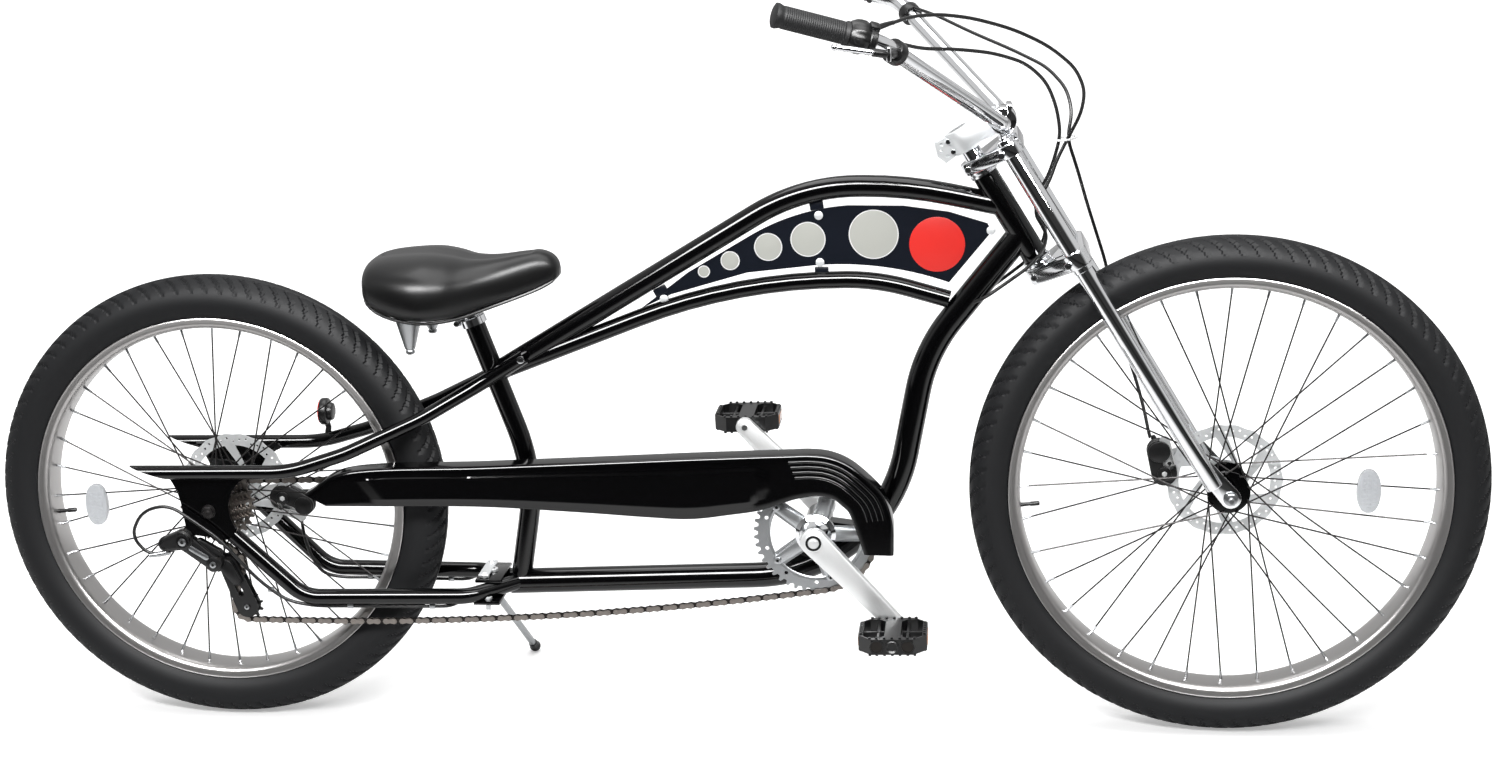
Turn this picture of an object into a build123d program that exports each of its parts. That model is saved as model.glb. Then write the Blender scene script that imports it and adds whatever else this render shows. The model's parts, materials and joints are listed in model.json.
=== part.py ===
from build123d import *
import math
import os

os.makedirs("parts", exist_ok=True)

# Chopper bicycle with a stretched frame, a raked twin-clamp fork and swept-back bars.
# Every piece is drawn on the upright bicycle: X forward, Y to the rider's left, Z up,
# with the rear hub over X = 0 and the ground at Z = 0. At the end the whole machine is
# leaned to its left on its side stand, as it parks. Lengths are in millimetres.

# Stance
lean_angle = 5.0
seat_gap = 0.3
running_clearance = 0.05

# Wheels
wheel_base = 1508.0
rear_tyre_radius = 347.0
front_tyre_radius = 374.0
rear_bead_radius = 279.5
front_bead_radius = 311.0
tyre_half_width = 37.0
crown_half_width = 25.0
crown_drop = 9.5
rim_half_width = 29.0
rim_wall = 2.0
rim_flange_height = 6.0
rim_depth = 17.0
rim_edge_rise = 6.0
spoke_radius = 1.0
spoke_count = 36
spoke_crossing_angle = 60.0
spoke_offset = 3.2
spoke_rim_offset = 3.0
nipple_radius = 2.4
nipple_length = 11.0
flange_thickness = 2.0
hole_inset = 2.0
rotor_radius = 84.0
rotor_ring_width = 16.0
rotor_thickness = 2.0
reflector_distance = 200.0
reflector_height = 60.0
reflector_width = 34.0

# Rear hub and gears
rear_axle_radius = 5.0
rear_dropout_y = 71.0
dropout_thickness = 6.0
axle_end_reach = 16.0
axle_nut_radius = 9.5
axle_nut_height = 8.0
rear_flange_radius = 29.0
rear_flange_y = 29.0
rear_shell_radius = 17.0
rear_rotor_y = 54.0
chain_pitch = 12.7
chain_y = -51.0
cog_spacing = 5.0
cog_thickness = 1.8
cog_teeth = (28, 24, 22, 20, 18, 16, 14)
chain_cog = 3
tooth_height = 4.5

# Front hub and fork
head_angle = 59.0
fork_offset = 63.0
tyre_clearance = 29.7
head_tube_length = 143.0
head_tube_radius = 18.5
steerer_radius = 14.3
cup_radius = 21.0
cup_height = 8.5
leg_radius = 13.0
leg_offset = 52.0
leg_y = 56.0
leg_end_rise = 6.7
leg_end_gap = 26.0
upper_clamp_height = 19.0
lower_clamp_height = 24.0
clamp_boss_radius = 24.0
clamp_eye_radius = 19.0
front_axle_radius = 4.5
front_flange_radius = 31.0
front_flange_y = 26.0
front_shell_radius = 14.0
front_dropout_thickness = 6.0
front_rotor_y = 37.0

# Handlebar
stem_height = 34.0
stem_gap = 13.7
bar_reach = 62.0
bar_lift = 11.0
bar_radius = 11.1
bar_centre_half = 60.0
bar_back = 158.0
bar_spread = 240.0
bar_rise = 141.0
grip_back = 129.0
grip_spread = 45.0
grip_rise = 40.0
grip_radius = 15.0
grip_length = 98.0
shifter_radius = 20.0
shifter_length = 36.0

# Frame tubes
upper_tube_radius = 16.0
arch_tube_radius = 12.7
main_tube_radius = 19.0
seat_tube_radius = 15.5
stay_radius = 10.5
lower_stay_radius = 12.0
seat_post_radius = 13.6

# Crank
crank_length = 170.0
crank_angle = -46.5
chainring_teeth = 44
chainring_thickness = 2.2
shell_radius = 20.0
shell_half_width = 34.0
spindle_radius = 8.5
crank_y = 83.0
crank_thickness = 14.0
pedal_axle_radius = 4.5
pedal_width = 92.0
pedal_length = 100.0
pedal_height = 26.0

# Brakes and cables
pad_clearance = 2.0
lever_radius = 3.6
lever_reach = 42.0
cable_radius = 2.5

# Side stand
stand_radius = 5.5
stand_foot_radius = 9.0
stand_folded = (-0.998, 0.06, 0.0)


def tooth_circle(teeth):
    """Pitch radius of a sprocket for the chain's pitch."""
    return chain_pitch / (2 * math.sin(math.pi / teeth))


def tube(points, radii, radius):
    """Adds a round tube that follows straight runs joined by arcs."""
    with BuildLine() as path:
        FilletPolyline(*points, radius=radii)
    with BuildSketch(Plane(origin=path.line @ 0, z_dir=path.line % 0)) as profile:
        Circle(radius)
    sweep(profile.sketch, path=path.line)


def cable(points):
    """Adds a cable whose arcs are as large as the runs beside them allow."""
    radii = []
    for before, here, after in zip(points, points[1:], points[2:]):
        run_in = Vector(*here) - Vector(*before)
        run_out = Vector(*after) - Vector(*here)
        half_turn = math.radians(run_in.get_angle(run_out)) / 2
        radii.append(0.45 * min(run_in.length, run_out.length) / math.tan(half_turn))
    tube(points, radii, cable_radius)


def rod(start, end, radius):
    """Adds a straight round bar between two points."""
    run = Vector(*end) - Vector(*start)
    with BuildSketch(Plane(origin=start, z_dir=run)) as profile:
        Circle(radius)
    extrude(profile.sketch, amount=run.length)


def disc(centre_x, centre_z, radius, low_y, high_y):
    """Adds a disc about a crosswise axis, from low_y to high_y."""
    with BuildSketch(Plane(origin=(centre_x, high_y, centre_z), z_dir=(0, -1, 0))) as profile:
        Circle(radius)
    extrude(profile.sketch, amount=high_y - low_y)


def bore(centre_x, centre_z, radius, low_y, high_y):
    """Cuts a round hole about a crosswise axis, from low_y to high_y."""
    with BuildSketch(Plane(origin=(centre_x, high_y, centre_z), z_dir=(0, -1, 0))) as profile:
        Circle(radius)
    extrude(profile.sketch, amount=high_y - low_y, mode=Mode.SUBTRACT)


# Finished pieces by name, each part upright until the end
pieces = {}

# Wheel centres
rear_hub = (0.0, rear_tyre_radius)
front_hub = (wheel_base, front_tyre_radius)

# Steering frame: local Z up the steering axis, local X forward, origin mid head tube
head_sine = math.sin(math.radians(head_angle))
head_cosine = math.cos(math.radians(head_angle))
half_head = head_tube_length / 2
lower_clamp_bottom = half_head + cup_height + seat_gap + lower_clamp_height
upper_clamp_top = half_head + cup_height + seat_gap + upper_clamp_height
fork_reach = lower_clamp_bottom + tyre_clearance + front_tyre_radius
head_x = wheel_base - head_sine * fork_offset - head_cosine * fork_reach
head_z = front_tyre_radius - head_cosine * fork_offset + head_sine * fork_reach
steering = Plane(
    origin=(head_x, 0, head_z),
    x_dir=(head_sine, 0, head_cosine),
    z_dir=(-head_cosine, 0, head_sine),
)


def on_fork(forward, across, up):
    """Bicycle coordinates of a point given in the steering frame."""
    place = steering.from_local_coords(Vector(forward, across, up))
    return (place.X, place.Y, place.Z)


# The frame is drawn for one hub height and head position, and follows both when they change
frame_scale = math.hypot(head_x, head_z - rear_tyre_radius) / math.hypot(1192.36, 429.99)


def at(x, z, y=0.0):
    """Place of a drawn frame point between the rear hub and the head."""
    share = x / 1192.36
    line = rear_tyre_radius + share * (head_z - rear_tyre_radius)
    return (share * head_x, y * frame_scale, line + (z - 347.0 - share * 429.99) * frame_scale)


def flat(*points):
    """Drawn frame points as corners of a crosswise sketch."""
    return [(at(x, z)[0], at(x, z)[2]) for x, z in points]


def head_bar():
    """Solid bar in the head tube's place, for cutting tube ends."""
    circle = Wire.make_circle(head_tube_radius, steering.offset(-half_head))
    return Solid.extrude(Face(circle), steering.z_dir * head_tube_length)


crank_x, _, crank_z = at(910.0, 314.0)

# Tyres and rims, turned about the hubs
wheels = (
    # name, hub, bead radius, tyre radius
    ("rear", rear_hub, rear_bead_radius, rear_tyre_radius),
    ("front", front_hub, front_bead_radius, front_tyre_radius),
)
for name, (hub_x, hub_z), bead_radius, tyre_radius in wheels:
    # Local X is across the bicycle and local Y is the distance from the hub
    section = Plane(origin=(hub_x, 0, hub_z), x_dir=(0, 1, 0), z_dir=(1, 0, 0))
    flange_radius = bead_radius + rim_flange_height
    bed_radius = flange_radius - rim_depth
    seat_half = rim_half_width - rim_wall
    with BuildPart() as tyre:
        with BuildSketch(section):
            with BuildLine():
                edge = (seat_half - seat_gap, flange_radius + seat_gap)
                shoulder = (crown_half_width, tyre_radius - crown_drop)
                widest = (tyre_half_width, (flange_radius + tyre_radius) / 2 - 3)
                foot = (seat_half - seat_gap, bead_radius + seat_gap)
                Line((-foot[0], foot[1]), foot)
                Line(foot, edge)
                ThreePointArc(edge, widest, shoulder)
                ThreePointArc(shoulder, (0, tyre_radius), (-shoulder[0], shoulder[1]))
                ThreePointArc((-shoulder[0], shoulder[1]), (-widest[0], widest[1]), (-edge[0], edge[1]))
                Line((-edge[0], edge[1]), (-foot[0], foot[1]))
            make_face()
        revolve(axis=Axis((hub_x, 0, hub_z), (0, 1, 0)))
    pieces[name + "_tyre"] = tyre.part
    with BuildPart() as rim:
        with BuildSketch(section):
            with BuildLine():
                half = [
                    (0, bed_radius),
                    (rim_half_width - 8, bed_radius),
                    (rim_half_width, bed_radius + rim_edge_rise),
                    (rim_half_width, flange_radius),
                    (seat_half, flange_radius),
                    (seat_half, bead_radius),
                    (seat_half - 9, bead_radius),
                    (seat_half - 12, bead_radius - 5),
                    (0, bead_radius - 5),
                ]
                Polyline(*half)
                Polyline(*[(-across, out) for across, out in half])
            make_face()
        revolve(axis=Axis((hub_x, 0, hub_z), (0, 1, 0)))
    pieces[name + "_rim"] = rim.part

# Spokes, laced from both flanges in two crossing groups
lacing = (
    # name, hub, bead radius, flange radius, flange distance
    ("rear", rear_hub, rear_bead_radius, rear_flange_radius, rear_flange_y),
    ("front", front_hub, front_bead_radius, front_flange_radius, front_flange_y),
)
for name, (hub_x, hub_z), bead_radius, hub_flange, flange_y in lacing:
    bed_radius = bead_radius + rim_flange_height - rim_depth
    spoke_end = bed_radius - seat_gap
    hole_radius = hub_flange - hole_inset
    bars = []
    pair_step = 4 * 360 / spoke_count
    for side in (-1, 1):
        for group in (-1, 1):
            for turn in range(spoke_count // 4):
                start_angle = turn * pair_step + (group + 1) * pair_step / 4 + (side + 1) * pair_step / 8
                end_angle = start_angle - group * spoke_crossing_angle
                face_y = side * flange_y + side * group * flange_thickness / 2
                low = Vector(
                    hub_x + hole_radius * math.cos(math.radians(start_angle)),
                    side * (flange_y + group * spoke_offset),
                    hub_z + hole_radius * math.sin(math.radians(start_angle)),
                )
                high = Vector(
                    hub_x + spoke_end * math.cos(math.radians(end_angle)),
                    side * spoke_rim_offset,
                    hub_z + spoke_end * math.sin(math.radians(end_angle)),
                )
                run = high - low
                with BuildPart() as bar:
                    with BuildSketch(Plane(origin=low, z_dir=run)):
                        RegularPolygon(spoke_radius, 6)
                    extrude(amount=run.length)
                    with BuildSketch(Plane(origin=low + run * (1 - nipple_length / run.length), z_dir=run)):
                        RegularPolygon(nipple_radius, 4)
                    extrude(amount=nipple_length)
                    with BuildSketch(Plane(origin=(low.X, face_y, low.Z), z_dir=(0, side * group, 0))):
                        RegularPolygon(spoke_radius, 4)
                    extrude(amount=spoke_offset - flange_thickness / 2)
                bars += bar.part.solids()
    with BuildPart() as spokes:
        add(bars)
    pieces[name + "_spokes"] = spokes.part

# Hubs, turning on fixed axles
hubs = (
    # name, hub, shell, flange, flange distance, half length, axle, rotor distance
    ("rear", rear_hub, rear_shell_radius, rear_flange_radius, rear_flange_y, rear_dropout_y, rear_axle_radius, rear_rotor_y),
    ("front", front_hub, front_shell_radius, front_flange_radius, front_flange_y, leg_y - 5, front_axle_radius, front_rotor_y),
)
for name, (hub_x, hub_z), shell, hub_flange, flange_y, half_length, axle, rotor_y in hubs:
    with BuildPart() as hub:
        disc(hub_x, hub_z, shell, -flange_y, flange_y)
        for side in (-1, 1):
            disc(hub_x, hub_z, hub_flange, side * flange_y - flange_thickness / 2, side * flange_y + flange_thickness / 2)
        disc(hub_x, hub_z, shell + 3, flange_y, rotor_y - rotor_thickness / 2)
        disc(hub_x, hub_z, axle + 6, -half_length + 3, half_length - 3)
        bore(hub_x, hub_z, axle + running_clearance, -half_length, half_length)
    pieces[name + "_hub"] = hub.part
    with BuildPart() as rotor:
        disc(hub_x, hub_z, rotor_radius, rotor_y - rotor_thickness / 2, rotor_y + rotor_thickness / 2)
        bore(hub_x, hub_z, rotor_radius - rotor_ring_width, rotor_y - 2, rotor_y + 2)
        disc(hub_x, hub_z, shell + 8, rotor_y - rotor_thickness / 2, rotor_y + rotor_thickness / 2)
        for turn in range(6):
            angle = math.radians(60 * turn)
            swept = math.radians(60 * turn + 28)
            inner = (hub_x + (shell + 4) * math.cos(angle), hub_z + (shell + 4) * math.sin(angle))
            outer = (
                hub_x + (rotor_radius - rotor_ring_width / 2) * math.cos(swept),
                hub_z + (rotor_radius - rotor_ring_width / 2) * math.sin(swept),
            )
            run = Vector(outer[0] - inner[0], 0, outer[1] - inner[1])
            with BuildSketch(Plane(origin=(inner[0], rotor_y, inner[1]), x_dir=(0, 1, 0), z_dir=run)) as arm:
                Rectangle(rotor_thickness, 5)
            extrude(arm.sketch, amount=run.length)
        bore(hub_x, hub_z, axle + 6, rotor_y - 2, rotor_y + 2)
    pieces[name + "_rotor"] = rotor.part
    # The axle carries a nut on each side and ends in a free threaded stub
    nut_face = half_length + dropout_thickness
    with BuildPart() as axle_rod:
        disc(hub_x, hub_z, axle, -nut_face - axle_end_reach, nut_face + axle_end_reach)
        for side in (-1, 1):
            with BuildSketch(Plane(origin=(hub_x, side * nut_face, hub_z), z_dir=(0, side, 0))) as nut:
                RegularPolygon(axle_nut_radius, 6)
            extrude(nut.sketch, amount=axle_nut_height)
    pieces[name + "_axle"] = axle_rod.part

# Freewheel: thin cogs on one body, largest inside
with BuildPart() as freewheel:
    first_y = chain_y + chain_cog * cog_spacing
    for place, teeth in enumerate(cog_teeth):
        cog_y = first_y - place * cog_spacing
        cog_radius = tooth_circle(teeth) + tooth_height / 2
        disc(0, rear_tyre_radius, cog_radius, cog_y - cog_thickness / 2, cog_y + cog_thickness / 2)
    last_y = first_y - (len(cog_teeth) - 1) * cog_spacing
    disc(0, rear_tyre_radius, 21, last_y - 1, first_y + 1)
    bore(0, rear_tyre_radius, rear_axle_radius + 6, last_y - 3, first_y + 3)
pieces["freewheel"] = freewheel.part

# Head tube and the cups that carry the steerer
with BuildPart() as head_tube:
    with BuildSketch(steering.offset(-half_head)):
        Circle(head_tube_radius)
        Circle(steerer_radius + 1.5, mode=Mode.SUBTRACT)
    extrude(amount=head_tube_length)
pieces["head_tube"] = head_tube.part
with BuildPart() as headset:
    for low in (half_head, -half_head - cup_height):
        with BuildSketch(steering.offset(low)) as ring:
            Circle(cup_radius)
            Circle(steerer_radius + running_clearance, mode=Mode.SUBTRACT)
        extrude(ring.sketch, amount=cup_height)
pieces["headset"] = headset.part

# Main tube: down from the head, round under the crank and back to the seat tube
with BuildPart() as main_tube:
    main_start = on_fork(0, 0, -half_head + 41.5 * frame_scale)
    main_route = [main_start, at(1071, 578), at(1005, 237.5), at(440, 216)]
    tube(main_route, [250 * frame_scale, 240 * frame_scale], main_tube_radius)
    add(head_bar(), mode=Mode.SUBTRACT)
pieces["main_tube"] = main_tube.part.solids().sort_by(SortBy.VOLUME)[-1]

# Seat tube: bowed, from the collar down to the bottom tube
seat_top = at(404, 617)
seat_knee = at(483.5, 389)
with BuildPart() as seat_tube:
    tube([seat_top, seat_knee, at(455, 222)], [290 * frame_scale], seat_tube_radius)
    add(main_tube.part, mode=Mode.SUBTRACT)
pieces["seat_tube"] = seat_tube.part.solids().sort_by(SortBy.VOLUME)[-1]

# Upper tube and the thinner arch tube under it meet at the seat tube
tube_node = at(430, 542)
with BuildPart() as upper_tube:
    upper_route = [tube_node, at(895, 821), at(1045, 821), at(1183.4, 792)]
    tube(upper_route, [290 * frame_scale, 600 * frame_scale], upper_tube_radius)
    add(head_bar(), mode=Mode.SUBTRACT)
    add(seat_tube.part, mode=Mode.SUBTRACT)
pieces["upper_tube"] = upper_tube.part.solids().sort_by(SortBy.VOLUME)[-1]
with BuildPart() as arch_tube:
    arch_route = [tube_node, at(798, 684), at(1003, 684), at(1105, 654.8)]
    tube(arch_route, [850 * frame_scale, 320 * frame_scale], arch_tube_radius)
    add(main_tube.part, mode=Mode.SUBTRACT)
    add(upper_tube.part, mode=Mode.SUBTRACT)
    add(seat_tube.part, mode=Mode.SUBTRACT)
pieces["arch_tube"] = arch_tube.part.solids().sort_by(SortBy.VOLUME)[-1]

# Bottom bracket shell and the gusset that ties it to the main tube
with BuildPart() as bottom_bracket:
    disc(crank_x, crank_z, shell_radius, -shell_half_width, shell_half_width)
    with BuildSketch(Plane.XZ.offset(-13)):
        Polygon(*flat((842, 236), (886, 300), (910, 322), (968, 314), (985, 290), (905, 236)), align=None)
    extrude(amount=26)
    add(main_tube.part, mode=Mode.SUBTRACT)
    bore(crank_x, crank_z, spindle_radius + running_clearance, -shell_half_width, shell_half_width)
pieces["bottom_bracket"] = bottom_bracket.part.solids().sort_by(SortBy.VOLUME)[-1]

# Upper stays with spear tips, lower stays, and the plates that hold the rear axle
plate_y = rear_dropout_y + dropout_thickness / 2
tail_y = plate_y + 10
tail_x, _, tail_z = at(-114, 409.5)
stay_route = [
    at(482, 574, -24.5),
    at(415, 533, -24.5),
    at(325, 485, -57),
    (at(215, 437.5)[0], -tail_y + 8, at(215, 437.5)[2]),
    (at(130, 411.5)[0], -tail_y, at(130, 411.5)[2]),
    (tail_x, -tail_y, tail_z),
]
lower_stay_route = [
    at(450, 218, -10),
    at(385, 212, -60),
    (at(135, 211)[0], -plate_y + 5, at(135, 211)[2]),
    (at(30, 314)[0], -plate_y, at(30, 314)[2]),
]
for side, name in ((1, "right"), (-1, "left")):
    with BuildPart() as stay:
        stay_radii = [radius * frame_scale for radius in (150, 180, 250, 200)]
        tube([(x, side * y, z) for x, y, z in stay_route], stay_radii, stay_radius)
        # The rear end is cut to a point, like a spear
        with BuildSketch(Plane.XZ.offset(side * tail_y - 30)):
            Polygon(
                (tail_x - 5, tail_z - 30),
                (tail_x + 62, tail_z - 30),
                (tail_x + 62, tail_z - stay_radius),
                (tail_x, tail_z + stay_radius),
                (tail_x - 5, tail_z + stay_radius),
                align=None,
            )
        extrude(amount=60, mode=Mode.SUBTRACT)
        add(seat_tube.part, mode=Mode.SUBTRACT)
        add(upper_tube.part, mode=Mode.SUBTRACT)
        add(arch_tube.part, mode=Mode.SUBTRACT)
    pieces["stay_" + name] = stay.part.solids().sort_by(SortBy.VOLUME)[-1]
    with BuildPart() as dropout:
        plate_plane = Plane(origin=(0, -side * plate_y, 0), x_dir=(1, 0, 0), z_dir=(0, -1, 0))
        with BuildSketch(plate_plane):
            with BuildLine():
                rear_top, front_top, front_neck, front_waist, front_foot = flat(
                    (-66, 411), (84, 411), (54, 396), (32, 362), (40, 320)
                )
                toe, heel, hip, rear_waist = flat((31, 302), (-36, 311), (-41, 345), (-48, 381))
                Line(rear_top, front_top)
                Line(front_top, front_neck)
                ThreePointArc(front_neck, front_waist, front_foot)
                Line(front_foot, toe)
                Line(toe, heel)
                Line(heel, hip)
                ThreePointArc(hip, rear_waist, rear_top)
            make_face()
        extrude(amount=dropout_thickness / 2, both=True)
        add(pieces["stay_" + name], mode=Mode.SUBTRACT)
        bore(0, rear_tyre_radius, rear_axle_radius, -side * plate_y - 6, -side * plate_y + 6)
    pieces["dropout_" + name] = dropout.part.solids().sort_by(SortBy.VOLUME)[-1]
    with BuildPart() as lower_stay:
        tube([(x, side * y, z) for x, y, z in lower_stay_route], [45, 60], lower_stay_radius)
        add(main_tube.part, mode=Mode.SUBTRACT)
        add(seat_tube.part, mode=Mode.SUBTRACT)
        add(pieces["dropout_" + name], mode=Mode.SUBTRACT)
        if side == -1:
            add(pieces["lower_stay_right"], mode=Mode.SUBTRACT)
    pieces["lower_stay_" + name] = lower_stay.part.solids().sort_by(SortBy.VOLUME)[-1]

# Panel between the upper tube and the arch tube, with its row of discs
panel_low = [(1105, 680), (1010, 703), (915, 706)]
with BuildPart() as panel:
    with BuildSketch(Plane.XZ.offset(-2)):
        with BuildLine():
            tail, rise, crest_start, crest, crest_end = flat((655, 642), (725, 695), (812, 746), (885, 779), (960, 793))
            Polyline(tail, rise, crest_start)
            ThreePointArc(crest_start, crest, crest_end)
            low_start, low_middle, low_end = flat(*panel_low)
            Polyline(crest_end, *flat((1040, 792), (1105, 783), (1160, 766), (1166, 754)), low_start)
            ThreePointArc(low_start, low_middle, low_end)
            Polyline(low_end, *flat((812, 695), (700, 663)), tail)
        make_face()
    extrude(amount=4)
    for shape in (upper_tube, arch_tube, main_tube):
        add(shape.part, mode=Mode.SUBTRACT)
pieces["panel"] = panel.part.solids().sort_by(SortBy.VOLUME)[-1]
disc_row = (
    # X, Z, radius
    (749, 697, 9),
    (788, 713, 14),
    (844, 733, 20.5),
    (902, 744, 25.5),
    (997, 751, 36),
)
with BuildPart() as panel_discs:
    for x, z, radius in disc_row:
        centre_x, _, centre_z = at(x, z)
        for low_y in (-3, 2):
            disc(centre_x, centre_z, radius * frame_scale, low_y, low_y + 1)
pieces["panel_discs"] = panel_discs.part
with BuildPart() as panel_roundel:
    centre_x, _, centre_z = at(1088, 736)
    for low_y in (-3, 2):
        disc(centre_x, centre_z, 40 * frame_scale, low_y, low_y + 1)
pieces["panel_roundel"] = panel_roundel.part

# Chain guard: a deep lipped cover outside the chain, curled down round the chainring
guard_face_y = -75.0
guard_inner_y = -42.0
guard_wall = 2.0
guard_rib = 1.2
guard_top = [(148, 374), (220, 410), (418, 419), (730, 434), (903, 441)]
guard_curl = [(932, 438), (961, 426), (989, 403), (1012, 376), (1024, 337), (1025, 288)]
guard_under = [(982, 289), (979, 300), (968, 333), (959, 357), (937, 374), (908, 377), (885, 373), (833, 356)]
guard_under += [(786, 348), (727, 341), (415, 357), (181, 356)]
with BuildPart() as chain_guard:
    with BuildSketch(Plane.XZ.offset(-guard_inner_y)) as outline:
        Polygon(*flat(*guard_top, *guard_curl, *guard_under), align=None)
    extrude(amount=guard_inner_y - guard_face_y)
    with BuildSketch(Plane.XZ.offset(-guard_inner_y)):
        inside = [(120, 440), (214, 440)] + [(x, z - guard_wall) for x, z in guard_top[1:]]
        inside += [(932, 435.5), (959.5, 424), (987, 401.5), (1009.8, 375), (1022, 336.5), (1023, 270)]
        Polygon(*flat(*inside, (400, 270), (120, 340)), align=None)
    extrude(amount=guard_inner_y - guard_face_y - guard_wall, mode=Mode.SUBTRACT)
    # Raised ribs that follow the curl
    with BuildSketch(Plane.XZ.offset(-guard_face_y)):
        for inset in (0.08, 0.15, 0.22, 0.29):
            curve = [(870, 439), *guard_top[-1:], *guard_curl[:-1]]
            outer = [(x + (910 - x) * inset, z + (330 - z) * inset) for x, z in curve]
            inner = [(x + (910 - x) * 0.03, z + (330 - z) * 0.03) for x, z in outer]
            Polygon(*flat(*outer, *inner[::-1]), align=None)
    extrude(amount=guard_rib)
    # Tab that carries the guard on the seat tube
    with BuildSketch(Plane.XZ.offset(0)):
        with Locations(*flat((452, 417))):
            Rectangle(30, 4)
    extrude(amount=-guard_inner_y + 1)
    add(seat_tube.part, mode=Mode.SUBTRACT)
pieces["chain_guard"] = chain_guard.part.solids().sort_by(SortBy.VOLUME)[-1]

# Seat post, collar, saddle and its two cone springs
seat_run = Vector(*seat_top) - Vector(*seat_knee)
seat_dir = seat_run.normalized()
post_plane = Plane(origin=seat_top, x_dir=(seat_dir.Z, 0, -seat_dir.X), z_dir=seat_dir)
with BuildPart() as seat_post:
    with BuildSketch(post_plane.offset(seat_gap)):
        Circle(seat_post_radius)
    extrude(amount=34)
    with BuildSketch(post_plane.offset(seat_gap)):
        Circle(seat_tube_radius + 4)
    extrude(amount=12)
    # Binder ears behind the collar
    with BuildSketch(post_plane.offset(2)):
        with Locations((-seat_tube_radius - 6, 0)):
            Rectangle(14, 14)
    extrude(amount=9)
pieces["seat_post"] = seat_post.part
saddle_sections = (
    # X, half width, low Z, high Z
    (250, 60, 682, 707),
    (262, 92, 662, 720),
    (300, 114, 644, 728),
    (348, 118, 637, 728),
    (402, 90, 641, 719),
    (452, 52, 655, 722),
    (505, 31, 674, 729),
    (532, 19, 689, 714),
)
with BuildPart() as saddle:
    for x, half_width, low, high in saddle_sections:
        station, _, middle = at(x, (low + high) / 2)
        width, height = 2 * half_width * frame_scale, (high - low) * frame_scale
        with BuildSketch(Plane(origin=(station, 0, middle), x_dir=(0, 1, 0), z_dir=(1, 0, 0))):
            RectangleRounded(width, height, 0.42 * min(width, height))
    loft()
    add(seat_post.part, mode=Mode.SUBTRACT)
pieces["saddle"] = saddle.part.solids().sort_by(SortBy.VOLUME)[-1]
with BuildPart() as saddle_springs:
    for side in (-1, 1):
        spring = Plane(origin=at(322, 588, side * 68))
        with BuildSketch(Plane(spring.origin, x_dir=(1, 0, 0), z_dir=(0, -1, 0))):
            Polygon((0, 0), (5, 0), (7, 5), (7, 10), (19, 52), (21, 56), (21, 72), (0, 72), align=None)
        revolve(axis=Axis(spring.origin, (0, 0, 1)))
    add(saddle.part, mode=Mode.SUBTRACT)
pieces["saddle_springs"] = saddle_springs.part

# Steerer and the two fork clamps
with BuildPart() as steerer:
    with BuildSketch(steering.offset(-lower_clamp_bottom)):
        Circle(steerer_radius)
    extrude(amount=lower_clamp_bottom + upper_clamp_top + stem_gap + stem_height)
pieces["steerer"] = steerer.part
with BuildPart() as fork_clamps:
    for low, height in (
        (half_head + cup_height + seat_gap, upper_clamp_height),
        (-lower_clamp_bottom, lower_clamp_height),
    ):
        with BuildSketch(steering.offset(low)) as outline:
            Circle(clamp_boss_radius)
            with Locations((leg_offset, leg_y), (leg_offset, -leg_y)):
                Circle(clamp_eye_radius)
            make_hull()
            Circle(steerer_radius, mode=Mode.SUBTRACT)
            with Locations((leg_offset, leg_y), (leg_offset, -leg_y)):
                Circle(leg_radius, mode=Mode.SUBTRACT)
        extrude(outline.sketch, amount=height)
pieces["fork_clamps"] = fork_clamps.part

# Fork legs and their axle plates
leg_bottom = -(fork_reach - leg_end_gap)
leg_top = upper_clamp_top + leg_end_rise
with BuildPart() as fork_legs:
    for side in (-1, 1):
        with BuildSketch(steering.offset(leg_bottom)) as ring:
            with Locations((leg_offset, side * leg_y)):
                Circle(leg_radius)
        extrude(ring.sketch, amount=leg_top - leg_bottom)
        with BuildSketch(Plane(origin=on_fork(0, side * (leg_y - 2) + 3, 0), x_dir=steering.x_dir, z_dir=(0, -1, 0))) as plate:
            with BuildLine():
                Polyline(
                    (leg_offset - 11, leg_bottom - 14),
                    (leg_offset - 11, leg_bottom + 34),
                    (leg_offset + 12, leg_bottom + 60),
                    (fork_offset + 15, leg_bottom + 10),
                    (fork_offset + 15, -fork_reach - 8),
                    (fork_offset, -fork_reach - 15),
                    (fork_offset - 15, -fork_reach - 8),
                    close=True,
                )
            make_face()
        extrude(plate.sketch, amount=6)
        bore(wheel_base, front_tyre_radius, front_axle_radius, side * leg_y - 20, side * leg_y + 20)
pieces["fork_legs"] = fork_legs.part

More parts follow.
